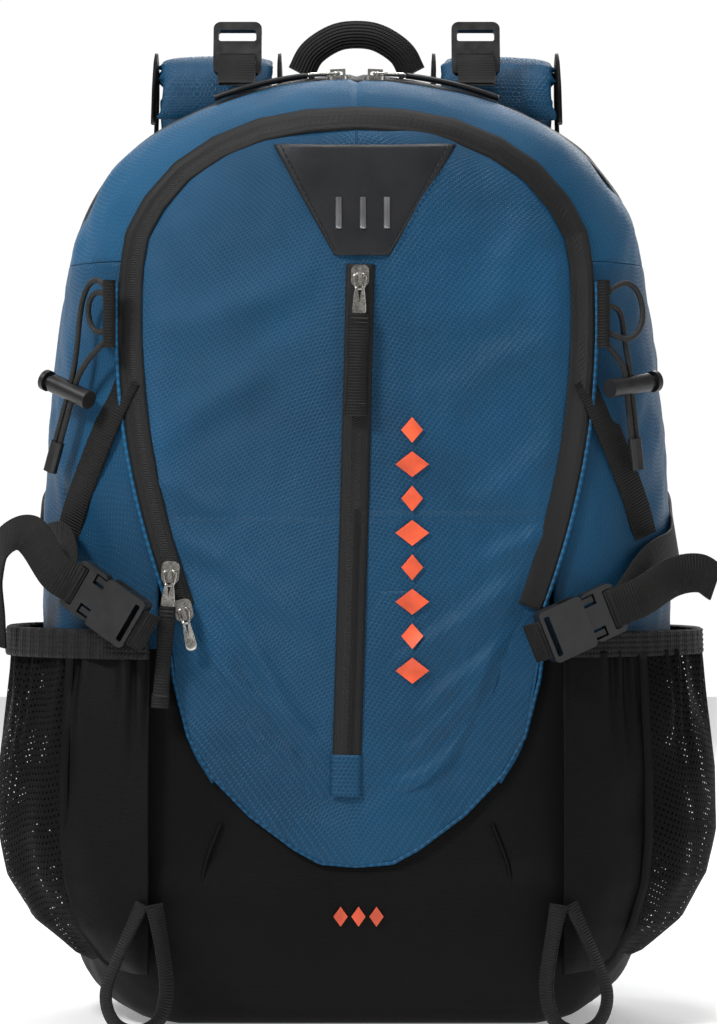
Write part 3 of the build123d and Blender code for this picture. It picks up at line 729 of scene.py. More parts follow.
# Folds of the front panel: both ends, width and height
PANEL_FOLDS = [
    ((-100, 252), (-16, 204), 5.5, 2.0), ((-94, 190), (-18, 150), 4.5, 1.8),
    ((-70, 232), (-30, 138), 5.0, 1.6), ((-82, 160), (-16, 128), 4.0, 1.6),
    ((-52, 200), (-14, 124), 4.0, 1.3), ((-104, 352), (-18, 384), 9.0, 1.7),
    ((-108, 300), (-40, 330), 8.0, 1.4), ((-92, 410), (-50, 360), 8.0, 1.3),
    ((96, 214), (30, 152), 4.5, 2.0), ((82, 232), (20, 182), 5.5, 1.7),
    ((62, 150), (16, 122), 4.0, 1.5), ((70, 190), (28, 134), 4.0, 1.4),
    ((106, 300), (56, 262), 8.0, 1.5), ((104, 350), (40, 318), 9.0, 1.3),
    ((92, 412), (62, 356), 8.0, 1.2), ((108, 262), (66, 232), 5.0, 1.4),
    ((-106, 276), (-60, 262), 5.0, 1.3), ((-44, 150), (44, 150), 5.0, -0.9),
]


def fold_height(x, z, start, end, width, height):
    """Soft ridge along a line, fading out at both ends."""
    run = (end[0] - start[0], end[1] - start[1])
    length = math.hypot(*run)
    t = ((x - start[0]) * run[0] + (z - start[1]) * run[1]) / length ** 2
    bend = 3.0 * math.sin(t * 4 + start[0])
    off = ((x - start[0]) * run[1] - (z - start[1]) * run[0]) / length + bend
    fade = max(0.0, 1 - (2 * t - 1) ** 4) if 0 <= t <= 1 else 0.0
    ridge, hollow = math.exp(-(off / width) ** 2), math.exp(-((off - 1.9 * width) / width) ** 2)
    return height * fade * (ridge - 0.45 * hollow)


def panel_lift(x, z, s):
    rim = min(1.0, (1 - abs(s)) * 9) * min(1.0, max(z - 115, 0) / 9) * min(1.0, max(BAND_TOP - z, 0) / 9)
    drape = crease((x, 0, z * 0.55), 46, 7.7) * 1.6 + crease((x * 1.2, 9, z), 17, 2.4) * 0.5
    flat_middle = min(1.0, 0.25 + abs(x) / 26)
    return 1.6 + rim * (1.8 + flat_middle * (drape + sum(fold_height(x, z, *fold) for fold in PANEL_FOLDS)))


panel_rows = np.concatenate([np.linspace(115.2, SEAM_Z, 70), np.linspace(SEAM_Z + 1, BAND_TOP - 0.5, 172)])
panel = grid_object("front_panel_fabric", front_grid(panel_rows, 161, panel_width, panel_lift))


def surface_strip(name, line, width, lift, columns=7, bulge=0.0, count=None):
    """Flat strip laid on the bag's front along a line of (x, z) points."""
    line = np.asarray(line, float)
    if count:
        line = resample(line, count)
    tangents = unit(np.gradient(line, axis=0))
    grid = []
    for (x, z), (tx, tz) in zip(line, tangents):
        row = []
        for s in np.linspace(-1, 1, columns):
            px, pz = x + tz * s * width / 2, z - tx * s * width / 2
            row.append(on_front(px, pz, lift + bulge * (1 - s * s)))
        grid.append(row)
    return grid_object(name, np.array(grid))


def front_tube(name, line, radius, lift, count=160):
    """Round piping or thread laid on the front along a line of (x, z) points."""
    line = resample(np.asarray(line, float), count)
    points = np.array([on_front(x, z, lift) for x, z in line])
    tube = sweep(name, points, v3(0, -1, 0.05), round_section(radius, 8))
    total = len(tube.data.vertices)
    step = np.linalg.norm(np.diff(points, axis=0), axis=1).sum() / (count - 1)
    return set_weave(tube, np.zeros(total), np.arange(total) // 8 * step)


def to_mesh(obj):
    """Applies a piece's modifiers."""
    graph = bpy.context.evaluated_depsgraph_get()
    mesh = bpy.data.meshes.new_from_object(obj.evaluated_get(graph))
    obj.modifiers.clear()
    obj.data = mesh
    return obj


def fold_piece(obj, material, slot, *replaced):
    """Fabric across where the top section opens: finished without a body, with its modifiers applied and
    its transform baked.
    """
    finish_piece(obj, material, None, slot, *replaced)
    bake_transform(to_mesh(obj))


fold_piece(solidify(panel, 1.0), blue, "blue_fabric", "front_panel")
band = surface_strip("band", band_line, 12, 3.2, 9, 0.8, 360)
fold_piece(solidify(band, 1.4), zip_black, "zip_tape", "pocket_zip_sides", "pocket_zip_arch")
for side, name in ((-1, "piping"), (1, "piping_right")):
    line = [(side * (x + 7.2), z) for x, z in BAND_HALF if z < 386]
    finish_piece(front_tube(name, line, 1.1, 2.6), blue_painted_lighter, "root", "blue_fabric")

# ---------------- crown patch and centre zip

def patch_x(z, s):
    left = np.interp(z, (391, 449), (-11, -43))
    right = np.interp(z, (391, 447), (16.5, 50))
    return left + (right - left) * (s + 1) / 2


patch_grid = np.array([[on_front(patch_x(z, s), z, 5.4 - 1.6 * abs(s) ** 8) for s in np.linspace(-1, 1, 41)]
                       for z in np.linspace(391.5, 447, 36)])
finish_piece(solidify(grid_object("patch", patch_grid), 1.4), patch_look, "top_lid", "patch", "crown_patch")
centre_line = [(2, 387), (-1.2, 260), (-5, 134)]
finish_piece(solidify(surface_strip("centre_zip", centre_line, 14.5, 4.1, 9, 0.7, 160), 1.2),
             zip_black, "root", "zip_tape", "centre_zip_tape")
finish_piece(solidify(surface_strip("zip_end_tab", [(-5, 140), (-5.4, 119)], 15, 4.4, 7, 0.8, 16), 1.2),
             blue, "root", "blue_fabric")

# ---------------- main zip over the crown

crown_index = [i for i in range(AROUND) if OUTLINE[i, 1] > HINGE_Z - 2]
crown_places = sorted(crown_index, key=lambda i: OUTLINE[i, 0])
zip_rows = body_points(np.linspace(1.75, 2.35, 9))
zip_lifts = [1.6 - 0.05 * (r - 4) ** 2 for r in range(9)]
zip_grid = [[row[i] + unit(row[i] - v3(0, ZIP_Y, 250)) * rise for row, rise in zip(zip_rows, zip_lifts)]
            for i in crown_places]
main_zip = solidify(grid_object("main_zip", zip_grid), 1.2)
finish_piece(main_zip, zip_black, "root", "zip_tape", "main_zip_tape")

# ---------------- side pockets

POCKET_FLOOR, POCKET_RIM, RIM_HEIGHT = 30.0, 190.0, 12.0
POCKET_INNER = 104
POCKET_PLAN = catmull([(POCKET_INNER, -90), (132, -84), (160, -67), (180, -42), (186.4, -16), (186, 8),
                       (178, 32), (161, 50)], 200)
POCKET_SWELL = np.array([
    (30, 0.40), (36, 0.56), (52, 0.80), (75, 0.95), (98, 1.0), (130, 1.0), (190, 0.93), (202, 0.925)])


def pocket_point(side, s, z, ripple=0.0):
    """Point of a side pocket: s from 0 at the front seam to 1 at the rear seam."""
    place = s * (len(POCKET_PLAN) - 1)
    reach = np.interp(z, *POCKET_SWELL.T)    # how far the pocket stands out at this height
    x, y = line_at(POCKET_PLAN, place)
    x = POCKET_INNER + (x - POCKET_INNER) * reach
    y += (1 - reach) * np.interp(s, (0, 0.3, 1), (6, 30, 0))
    y -= 3.0 * np.interp(s, (0, 0.25, 0.5), (1, 0.4, 0))
    x, y = (x, y) + line_normal(POCKET_PLAN, place, 1) * ripple
    return v3(side * x, y, z)


def pocket_grid(side, first, last, columns, lift=0.0):
    """Pocket cloth from its floor to its rim: gathered below the elastic and sagging between seams."""
    grid = []
    for z in np.linspace(POCKET_FLOOR, POCKET_RIM + 2, 110):
        row = []
        for s in np.linspace(first, last, columns):
            gather = max(0.0, (z - 120) / 70) ** 1.6
            wave = math.sin(s * 88 + 2.2 * math.sin(s * 31 + side)) * 1.9 * gather
            sag = crease((s * 190 + 40 * side, 0, z * 0.5), 24, 4.0) * 3.4
            sag *= math.sin(math.pi * min(s * 1.4, 1))
            row.append(pocket_point(side, s, z, lift + wave + sag - 2.2 * gather))
        grid.append(row)
    return np.array(grid)


SEAM = 0.235   # where the woven front of a pocket meets its mesh
for side, name in SIDES:
    woven = grid_object(f"pocket_front_{name}", pocket_grid(side, 0.0, SEAM + 0.01, 50))
    finish_piece(solidify(woven, 1.0), black, "root", "black_fabric")
    mesh = grid_object(f"pocket_mesh_{name}", pocket_grid(side, SEAM, 1.0, 130, -0.3))
    finish_piece(mesh, pocket_mesh, "root", "pocket_mesh", f"side_pocket_{name}")
    rim_rows = []
    for z in np.linspace(POCKET_RIM - 1, POCKET_RIM + RIM_HEIGHT, 33):
        rib = 0.45 * abs(math.sin((z - POCKET_RIM + 1) / 13 * math.pi * 5))
        edge = -0.9 if z > POCKET_RIM + RIM_HEIGHT - 0.6 else 0
        rim_rows.append([pocket_point(side, s, z, -0.6 + rib + edge + 0.25 * math.sin(s * 150))
                         for s in np.linspace(0, 1, 220)])
    rim = grid_object(f"pocket_rim_{name}", np.array(rim_rows))
    finish_piece(solidify(rim, 2.2), elastic, "root", "elastic")
    seam_line = [pocket_point(side, SEAM, z, 0.6) for z in np.linspace(POCKET_FLOOR + 2, POCKET_RIM, 60)]
    finish_piece(sweep(f"pocket_seam_{name}", seam_line, v3(side * 0.5, -1, 0), strap_section(5, 1.2)),
                 black, "root", "black_fabric")
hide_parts("pocket_elastics")

# ---------------- webbing

def strap(name, points, normals, width=20.0, thickness=1.6, count=80, material=webbing, body="root",
          smooth=True):
    """Webbing along a smooth path, with its ribs across it."""
    points = catmull(points, count) if smooth else resample(np.asarray(points, float), count)
    normals = np.asarray(normals, float)
    if normals.ndim > 1:
        normals = resample(normals, count)
    section = strap_section(width, thickness)
    obj = sweep(name, points, normals, section)
    length = np.concatenate([[0], np.cumsum(np.linalg.norm(np.diff(points, axis=0), axis=1))])
    set_weave(obj, np.tile([p[0] for p in section], count), np.repeat(length, len(section)))
    return finish_piece(obj, material, body, "webbing")


def placed(origin, along, outward):
    """Axes of a placed piece: along it, across it and out of the surface."""
    x = unit(np.array(along, float))
    out = np.array(outward, float)
    z = unit(out - x * out.dot(x))
    return np.array(origin, float), x, unit(np.cross(z, x)), z


BUCKLES = {
    "left": placed((-128.0, -95.2, 217.8), (-29, 12, 20), (-0.38, -0.92, 0)),
    "right": placed((115.0, -93.4, 208.0), (43, 13, 19), (0.3, -0.95, 0)),
}


def buckle_place(name, x, y, z=0.0):
    origin, along, across, out = BUCKLES[name]
    return origin + along * x + across * y + out * z


for side, name in SIDES:
    bar = buckle_place(name, 14.4, 0, 0.4)
    before = buckle_place(name, 24, 0, -0.5)
    corner = v3(side * 150, -66, 236 if side > 0 else 247)
    rear = mirrored(side, [(163.6, -34, 244), (165.6, 0, 254), (166, 30, 262), (163.5, 54, 268)])
    out = BUCKLES[name][3]
    normals = [out, out, unit(v3(side * 0.8, -0.6, 0))] + [v3(side, 0, 0)] * len(rear)
    run = strap(f"compression_{name}", [bar, before, corner, *rear], normals, body=None)
    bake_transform(run)
    tab = [buckle_place(name, x, 0, z) for x, z in ((-20.5, 0.6), (-24, 2.2), (-27, 1.2), (-31, -3.0))]
    strap(f"buckle_tab_{name}", tab, out, count=24)
    fold = [buckle_place(name, x, 0, z)
            for x, z in ((14.4, -2.2), (12.2, 0.6), (14.4, 3.4), (17, 3.6), (22, 2.2))]
    strap(f"bar_fold_{name}", fold, out, count=40, body=f"buckle_latch_{name}")
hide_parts("compression_straps")
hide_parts("buckle_tabs")

# Loose ends beyond the latches
left_tail = [buckle_place("left", 15, 0, 3.6), buckle_place("left", 27, 0, 5.5), (-166, -72, 251),
             (-180, -62, 246), (-185.5, -52, 228), (-187, -46, 208), (-188, -42, 194)]
left_normals = [BUCKLES["left"][3]] * 3 + [
    (-0.6, -0.6, 0.5), (-0.9, -0.5, 0), (-0.7, -0.8, 0), (-0.5, -0.9, 0)]
strap("tail_left", left_tail, left_normals, body="buckle_latch_left", count=90)
right_tail = [buckle_place("right", 15, 0, 3.6), buckle_place("right", 30, 0, 5.5), (160, -72, 229),
              (174, -64, 231), (183, -58, 226)]
right_normals = [BUCKLES["right"][3]] * 3 + [(0.5, -0.85, 0.1)] * 2
strap("tail_right", right_tail, right_normals, body="buckle_latch_right", count=70)

# Rear straps that come down from the upper corners to the same seam
for side, _ in SIDES:
    rear_strap = mirrored(side, [(118, -78, 330), (134, -74, 296), (147, -66, 266), (153, -62, 250)])
    rear_strap = [on_body(p, 2.0) for p in catmull(rear_strap, 30)]
    strap(f"corner_strap_{side}", rear_strap, v3(side * 0.62, -0.78, 0.1), width=16, count=30)

# ---------------- haul loop, base loops, harness webbing

LOOP_Y = 54.5
loop_side = [(-30, 498), (-24, 509), (-12, 517)]
loop_arch = [*loop_side, (0, 519), *[(-x, z) for x, z in loop_side[::-1]]]
loop_line = catmull([(x, LOOP_Y, z) for x, z in loop_arch], 90)
haul = strap("haul_webbing", loop_line, v3(0, -1, 0), width=15, thickness=3, count=90, body="haul_loop",
             smooth=False, material=loop_webbing)
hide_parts("haul_loop")

for side, _ in SIDES:
    points = [(101, 66), (96.5, 40), (95, 22), (99, 8), (110, 3), (121, 8), (125, 22), (118, 42), (107, 66)]
    path = catmull([v3(side * x, -99 + 3 * math.sin(i), z) for i, (x, z) in enumerate(points)], 90)
    normals = unit(unit(path - v3(side * 110, -99, 30)) + v3(side * 0.3, -0.9, 0))
    strap(f"base_loop_{side}", path, normals, width=9, thickness=2, count=90, smooth=False)
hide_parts("base_loops")

for side, _ in SIDES:
    lower_line = [(108, 82, 158), (112, 77.5, 141), (126, 69, 92), (139, 60.5, 44), (142, 57, 34)]
    lower = strap(f"lower_harness_{side}", mirrored(side, lower_line), v3(0, 1, 0.2), count=60, body=None)
    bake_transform(lower)
    crown_z = 499 - CROWN_RADIUS * (1 - math.cos(math.asin(64 / CROWN_RADIUS)))
    lifter_line = [(63, 14, crown_z - 1), (64, 30, crown_z + 2), (64, 44, 503), (64, 51, 508)]
    lifter = strap(f"lifter_{side}", mirrored(side, lifter_line), v3(0, -0.2, 1), count=50, body=None)
    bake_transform(lifter)
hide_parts("harness_webbing")

# ---------------- padded harness and back

STRAP_LINE = resample(np.array([(64, 472), (65, 492), (72, 502), (84, 508), (94, 500), (99.5, 488),
                                (94.5, 395), (88, 300), (84, 238), (80, 176)], float), 200)


def strap_band(side, s, t, lift):
    """Point of a shoulder strap: s along it from the top, t across it from -1 to 1."""
    place = s * (len(STRAP_LINE) - 1)
    y, z = line_at(STRAP_LINE, place)
    waist = math.sin(math.pi * np.clip((z - 170) / 180, 0, 1))
    inner = np.interp(z, (170, 350, 520), (84, 38, 42)) - 7 * waist
    outer = np.interp(z, (170, 345, 520), (130, 114, 109))
    x = (inner + outer) / 2 + (outer - inner) / 2 * t
    y, z = (y, z) - line_normal(STRAP_LINE, place, 2) * lift
    return v3(side * x, y, z)


def close_holes(obj):
    bm = bmesh.new()
    bm.from_mesh(obj.data)
    bmesh.ops.holes_fill(bm, edges=[e for e in bm.edges if e.is_boundary])
    bmesh.ops.recalc_face_normals(bm, faces=bm.faces)
    bm.to_mesh(obj.data)
    bm.free()


def swell(pads, cap=2.6):
    """Lets stuffed pieces swell as cloth under pressure, each point moving at most cap mm."""
    weaves = []
    for obj in pads:
        places = [v.co.copy() for v in obj.data.vertices]
        tree = KDTree(len(places))
        for i, co in enumerate(places):
            tree.insert(co, i)
        tree.balance()
        values = [[a.value for a in obj.data.attributes[name].data] for name in ("across", "along")]
        weaves.append((tree, values))
        close_holes(obj)
        remesh = obj.modifiers.new("remesh", "REMESH")
        remesh.mode = "VOXEL"
        remesh.voxel_size = 4.5 * MM
        to_mesh(obj)
        cloth = obj.modifiers.new("cloth", "CLOTH")
        settings = cloth.settings
        settings.quality = 6
        settings.mass = 0.25
        settings.tension_stiffness = settings.compression_stiffness = 25
        settings.bending_stiffness = 0.6
        settings.use_pressure = True
        settings.uniform_pressure_force = 4.0
        settings.effector_weights.gravity = 0
        cloth.point_cache.frame_start, cloth.point_cache.frame_end = 1, 20
    scene = bpy.context.scene
    for step in range(1, 21):
        scene.frame_set(step)
    graph = bpy.context.evaluated_depsgraph_get()
    for obj, (tree, values) in zip(pads, weaves):
        swollen = [v.co.copy() for v in obj.evaluated_get(graph).data.vertices]
        obj.modifiers.clear()
        for vertex, new in zip(obj.data.vertices, swollen):
            move = new - vertex.co
            vertex.co += move * min(1.0, cap * MM / max(move.length, 1e-9))
        nearest = [tree.find(v.co)[1] for v in obj.data.vertices]
        obj.data.shade_smooth()
        set_weave(obj, *[[value[i] for i in nearest] for value in values])
        smooth = obj.modifiers.new("smooth", "SUBSURF")
        smooth.levels = smooth.render_levels = 1
    scene.frame_set(1)


BINDING_SECTION = [(-4.6, -1.2), (0, -1.6), (4.6, -1.2), (4.8, 0.6), (0, 1.0), (-4.8, 0.6)]
pads = []
for side, name in SIDES:
    rows = []
    for s in np.linspace(0, 1, 130):
        ring = []
        for t in np.linspace(-1, 1, 25):
            wrinkle = crease((t * 40, 0, s * 300), 20, side) * 0.5
            ring.append(strap_band(side, s, t, 4.8 * (1 - abs(t) ** 5) + wrinkle))
        for t in np.linspace(1, -1, 25)[1:-1]:
            ring.append(strap_band(side, s, t, -4.2 * (1 - abs(t) ** 5)))
        rows.append(ring)
    pad = grid_object(f"shoulder_pad_{name}", np.array(rows), closed=True)
    finish_piece(pad, blue, "harness", "blue_fabric")
    pads.append(pad)
    for t, edge in ((-1, "inner"), (1, "outer")):
        line = np.array([strap_band(side, s, t, 0) for s in np.linspace(0, 1, 130)])
        finish_piece(sweep(f"binding_{name}_{edge}", line, v3(side * t, 0, 0), BINDING_SECTION),
                     black, "harness", "black_fabric")
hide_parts("shoulder_straps")


def pad_shape(name, centre, size):
    """Puffy pad on the back panel."""
    cx, cz = centre
    w, h = size
    rows = []
    for v in np.linspace(-1, 1, 71):
        row = []
        for u in np.linspace(-1, 1, 45):
            corner = 1 - (abs(u) ** 6 + abs(v) ** 6)
            rise = 9.5 * max(0.0, min(1.0, corner * 2.2)) ** 0.6
            rise += 0.6 * crease((u * w / 2, cx, v * h / 2), 24, 3.0)
            x = cx + u * w / 2 * (1 - 0.06 * abs(v) ** 4)
            row.append(v3(x, BACK_Y + 0.6 + max(rise, 0), cz + v * h / 2))
        rows.append(row)
    obj = grid_object(name, np.array(rows))
    finish_piece(obj, back_mesh, "root", "back_mesh")
    pads.append(obj)
    return obj


pad_shape("back_pad_left", (-62, 275), (76, 270))
pad_shape("back_pad_right", (62, 275), (76, 270))
lumbar = pad_shape("lumbar_pad", (0, 78), (210, 84))
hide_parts("back_pads")
swell(pads)
BACK_TOP, BACK_MIDDLE = 496, 248
rear = [[v3(x * k * 0.98, BACK_Y + 0.3 + 0.4 * crease((x * k, 1, z * k), 30),
            BACK_MIDDLE + (z * BACK_TOP / ZIP_TOP - BACK_MIDDLE) * k) for x, z in OUTLINE]
        for k in np.linspace(1, 0.0004, 50)]
finish_piece(grid_object("back_fabric", rear, closed=True), black, "root", "black_fabric", "back_panel")

# ---------------- cords, tabs and hard parts

for (name, strand), obj in cords.items():
    obj.data.materials.append(cord_black)
    tuple(cord_route(name, strand)[0] * MM)

def bungee_out(side):
    return unit(bungee_point(side, 0, 0, 1) - bungee_point(side, 0, 0, 0))


for side, name in SIDES:
    tab_line = [bungee_point(side, -16, q, 2) for q in np.linspace(5, 39, 24)]
    turns = np.linspace(0, 2 * math.pi, 14, endpoint=False)
    tube = [(3.2 * math.cos(a), 3.4 * math.sin(a)) for a in turns]
    obj = sweep(f"bungee_tab_{name}", tab_line, bungee_out(side), tube)
    around = 3.2 * np.linspace(0, 2 * math.pi, 14)
    set_weave(obj, np.tile(around, 24), np.repeat(np.linspace(0, 34, 24), 14))
    finish_piece(obj, webbing, "root", "webbing")
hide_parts("bungee_tabs")


def hard_part(node, material, width):
    """CAD hardware kept as it is, with a material and rounded edges."""
    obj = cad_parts[node]
    obj.data.materials.clear()
    obj.data.materials.append(material)
    modifier = obj.modifiers.new("bevel", "BEVEL")
    modifier.width = width * MM
    modifier.segments = 3
    modifier.limit_method = "ANGLE"
    modifier.angle_limit = math.radians(35)


HARDWARE = [
    (("main_slider", "centre_slider", "pocket_slider"), steel, 0.35),
    (("buckle_socket", "buckle_latch", "buckle_prong", "ladder_lock"), plastic, 0.7),
    (("strap_adjusters", "cord_lock_barrel", "cord_lock_plunger", "cord_ends"), plastic, 0.5),
    (("frame_sheet",), sheet_white, 0.5),
    (("pocket_divider",), black, 0.3),
]
for starts, material, width in HARDWARE:
    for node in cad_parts:
        if node.startswith(starts):
            hard_part(node, material, width)

SPRING_TURNS, SPRING_RADIUS, SPRING_WIRE = 5, 2.3, 0.32
for side, name in SIDES:
    start, end = [lock_point(name, along, 0, CORD_HEIGHT) for along in (-9.5, -5.6)]
    axis, above = unit(end - start), bungee_out(side)
    sideways = np.cross(axis, above)
    turns = np.linspace(0, SPRING_TURNS * 2 * math.pi, 140)
    outward = [above * math.cos(t) + sideways * math.sin(t) for t in turns]
    wire = [start + (end - start) * t / turns[-1] + away * SPRING_RADIUS for t, away in zip(turns, outward)]
    coil = sweep(f"lock_spring_{name}", wire, outward, round_section(SPRING_WIRE, 8))
    finish_piece(coil, steel, f"cord_lock_barrel_{name}", "spring_steel", f"cord_lock_spring_{name}")
    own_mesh(coil)

# ---------------- zip pulls

CAD_UP = v3(0, LEAN, 1) / math.hypot(1, LEAN)
CAD_OUT = v3(0, -1, LEAN) / math.hypot(1, LEAN)


def cad_front(u, v, w=0.0):
    """Point over the CAD's front plane."""
    return v3(0, FRONT_Y, 0) + v3(u, 0, 0) + CAD_UP * v + CAD_OUT * w


def band_place(v, swing):
    fall = math.asin((BAND_V - v) / BAND_RADIUS) + math.radians(swing)
    along = v3(math.sin(fall), 0, 0) - CAD_UP * math.cos(fall)
    return placed(cad_front(-band_u(v), v, 1.6), along, CAD_OUT)


def crown_place(side):
    a = side * math.radians(2.6)
    origin = (CROWN_RADIUS * math.sin(a), ZIP_Y, ZIP_TOP - CROWN_RADIUS * (1 - math.cos(a)))
    return placed(origin, (side * math.cos(a), 0, -side * math.sin(a)), (math.sin(a), 0, math.cos(a)))


def metal_pull(node, place, length, width):
    """Wire link through the slider's bail, and the pressed tab that hangs from it."""
    origin, along, across, out = place
    name = node + "_metal"
    base = origin + out * 4.9
    wire = [(-0.6, 0), (0.2, -0.5), (3, -0.5), (6, -0.36), (7, 0), (6, 0.36), (3, 0.5), (0.2, 0.5)]
    ring = catmull([base + along * x + across * (y * width * 0.8) for x, y in wire], 48, closed=True)[:-1]
    link_ring = sweep(name + "_link", ring, out, round_section(0.75, 10), closed=True)
    finish_piece(link_ring, steel, node, "hardware_metal")
    outline = [(5.4, 0.18), (6.4, 0.34), (length * 0.72, 0.5), (length - 2, 0.44), (length - 0.8, 0)]
    outline += [(x, -y) for x, y in outline[-2::-1]]
    shape = catmull([(x, y * width) for x, y in outline], 60)
    middle = length * 0.6
    # Share of the outline and height off the middle: a raised rim around a thinner centre
    rings = [(0.05, 0.5), (0.6, 0.55), (0.8, 0.85), (0.95, 0.8), (1.0, 0.0), (0.95, -0.8), (0.05, -0.8)]
    rows = [[base + along * (middle + (x - middle) * k) + across * (y * k) + out * h for x, y in shape]
            for k, h in rings]
    finish_piece(grid_object(name + "_tab", rows), steel, node, "hardware_metal", node)


def pull_tail(node, place, start, length, width):
    """Folded webbing tail with a stitched, flared end."""
    origin, along, across, out = place
    base = origin + out * 5.2
    count = 60
    t = np.linspace(0, 1, count)
    line = [base + along * (start + length * k) + out * 0.5 * math.sin(3 * k) for k in t]
    flare = 1 + 0.10 * np.sin(t * 9) * (1 - t) + 0.12 * (t > 0.86)
    section = strap_section(width, 2.8)
    obj = sweep(node + "_tail", line, out, section, scale=flare)
    set_weave(obj, np.tile([p[0] for p in section], count), np.repeat(t * length, len(section)))
    finish_piece(obj, webbing, node, "webbing")
    for k in (0.05, 0.09, 0.88):
        at = base + along * (start + length * k) + out * 1.5
        reach = across * width * 0.42
        thread = sweep(f"{node}_tail_stitch", [at - reach, at, at + reach], out, round_section(0.35, 6))
        finish_piece(thread, thread_black, node, "webbing")


tilt = math.radians(1.5)
CENTRE = placed(cad_front(1.8, 382, 1.4), v3(-math.sin(tilt), 0, 0) - CAD_UP * math.cos(tilt), CAD_OUT)
# Place, length and width of the metal tab, then length and width of a webbing tail
PULLS = {
    "centre_pull": (CENTRE, 22, 7, 52, 10.5),
    "pocket_pull_upper": (band_place(232, -22), 20, 7, 51, 8.0),
    "pocket_pull_lower": (band_place(213, -8), 22, 5.6, 0, 0),
    "main_pull_left": (crown_place(-1), 18, 7, 0, 0),
    "main_pull_right": (crown_place(1), 18, 7, 0, 0),
}
for node, (place, length, width, tail, tail_width) in PULLS.items():
    metal_pull(node, place, length, width)
    if tail:
        pull_tail(node, place, length - 2.5, tail, tail_width)
for side, name in SIDES:
    origin, along, across, out = crown_place(side)
    centre, radius = origin - out * CROWN_RADIUS, CROWN_RADIUS + 5.2
    line = np.array([centre + (along * math.sin(s / radius) + out * math.cos(s / radius)) * radius
                     for s in np.linspace(16, 66, 50)])
    puller = sweep(f"main_puller_{name}", line, unit(line - centre), strap_section(6.5, 2.6),
                   scale=1 + 0.25 * np.sin(np.linspace(0, 3.14, 50)))
    finish_piece(puller, plastic, f"main_pull_{name}", "hardware_plastic")

# ---------------- seams, marks and stitching

def seam(name, line, width, lift, material=black):
    strip = surface_strip(name, catmull(line, 90), width, lift, 5, 0.9)
    finish_piece(solidify(strip, 1.0), material, "root", "black_fabric")


for side, name in SIDES:
    lower_side = [(side * x, z) for x, z in ((68, 106), (76, 84), (80, 58), (82, 52))]
    seam(f"lower_seam_{name}", lower_side, 2.2, 0.2)
    bowl_side = [(side * x, z) for x, z in ((97, SEAM_Z), (93, 196), (84, 149), (72, 126))]
    seam(f"bowl_seam_{name}", bowl_side, 2.0, 1.0, blue)
seam("base_seam", [(-116, 60), (-82, 52), (-40, 44), (-5, 41), (40, 44), (74, 54), (110, 62)], 2.6, 0.1)
bowl_rim = [(-x, z) for z, x in BOWL_EDGE[::-1]] + [(x, z) for z, x in BOWL_EDGE[1:]]
finish_piece(front_tube("bowl_piping", bowl_rim, 1.0, 1.4, 240), blue, "root", "blue_fabric")


def mark(name, x, z, half_width, half_height):
    """Printed orange lozenge on the front."""
    grid = []
    for v in np.linspace(-1, 1, 7):
        row = []
        for u in np.linspace(-1, 1, 7):
            px, pz = x + half_width * (u + v) / 2, z + half_height * (u - v) / 2
            lift = panel_lift(px, pz, px / panel_width(pz)) + 1.5 if pz > 116 else 2.4
            row.append(on_front(px, pz, lift))
        grid.append(row)
    finish_piece(grid_object(name, grid), orange, "root", "blue_fabric")


for i, z in enumerate(np.linspace(182, 303, 8)):
    mark(f"mark_{i}", 28, z, 5.5 if i % 2 else 8.5, 6.5)
for i, x in enumerate((-8, 1, 10)):
    mark(f"low_mark_{i}", x, 59.5, 3.6, 5.0)

for x in (-9, 3.3, 15.4):
    line = [on_front(x, z, 5.7) for z in np.linspace(405, 421, 12)]
    slot = sweep(f"patch_slot_{x}", line, v3(0, -1, 0), strap_section(3.2, 1.0, 0.9))
    finish_piece(slot, sheet_grey, "top_lid", "patch")
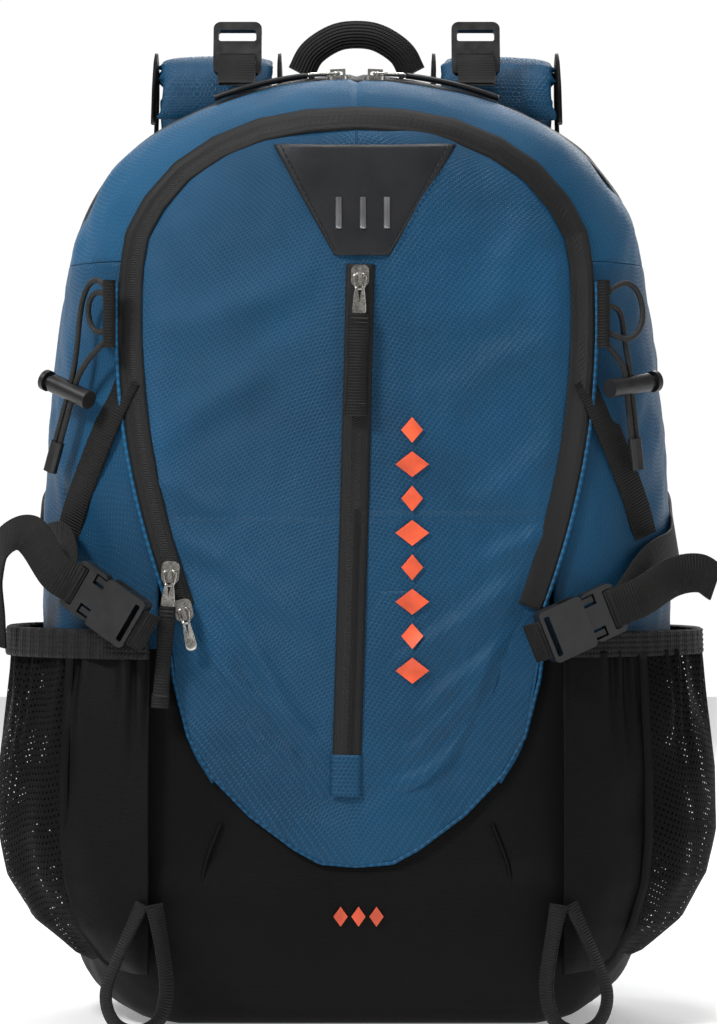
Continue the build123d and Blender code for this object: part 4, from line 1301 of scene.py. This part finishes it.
# Every second step of each side edge is a stitch
stitch_rows = np.linspace(446, 393, 40)
for k, (s, rows) in enumerate(((-0.93, stitch_rows), (0.93, stitch_rows[::-1]))):
    edge = [on_front(patch_x(z, s), z, 5.6) for z in rows]
    for i in range(2 * k, len(edge), 2):
        stitch = sweep(f"patch_stitch_{i + 40 * k}", edge[i:i + 2], v3(0, -1, 0), round_section(0.35, 6))
        finish_piece(stitch, thread_black, "top_lid", "patch")

# ---------------- floor, light and world

FLOOR_HALF = 3500
floor_corners = [(x * FLOOR_HALF, y * FLOOR_HALF, -0.4) for x, y in ((-1, -1), (1, -1), (1, 1), (-1, 1))]
floor = mesh_object("floor", floor_corners, [(0, 1, 2, 3)])
floor_look = Shader("floor", (0.9, 0.9, 0.9), 0.7, specular=0.5)
floor_look.bsdf.inputs["Emission Color"].default_value = (1, 1, 1, 1)
floor_look.bsdf.inputs["Emission Strength"].default_value = 0.25
floor.data.materials.append(floor_look.material)


def area_light(name, place, height, size, power):
    """Round light aimed at the bag's middle at this height, all in metres and watts."""
    light = bpy.data.lights.new(name, "AREA")
    light.shape = "DISK"
    light.size = size
    light.energy = power
    obj = link(bpy.data.objects.new(name, light))
    obj.location = place
    obj.rotation_euler = (Vector((0, 0, height)) - Vector(place)).to_track_quat("-Z", "Y").to_euler()
    return obj


lights = [
    area_light("key", (-1.15, -1.0, 1.6), 0.26, 0.45, 32),
    area_light("fill", (1.6, -1.2, 0.7), 0.26, 0.9, 5),
    area_light("top", (0.1, -0.1, 1.7), 0.35, 0.5, 12),
    area_light("rear", (0.3, 1.9, 1.2), 0.26, 1.2, 12),
]
world = bpy.data.worlds.new("studio")
world.use_nodes = True
tree = world.node_tree
direction = tree.nodes.new("ShaderNodeSeparateXYZ")
tree.links.new(tree.nodes.new("ShaderNodeTexCoord").outputs["Generated"], direction.inputs[0])
studio = tree.nodes.new("ShaderNodeMapRange")
for socket, value in (("From Min", 0.35), ("From Max", 0.85), ("To Min", 0.24), ("To Max", 1.02)):
    studio.inputs[socket].default_value = value
tree.links.new(direction.outputs["Y"], studio.inputs["Value"])
tree.links.new(studio.outputs["Result"], tree.nodes["Background"].inputs["Strength"])
tree.nodes["Background"].inputs["Color"].default_value = (1, 1, 1, 1)
bpy.context.scene.world = world
bpy.context.scene.view_settings.view_transform = "Standard"
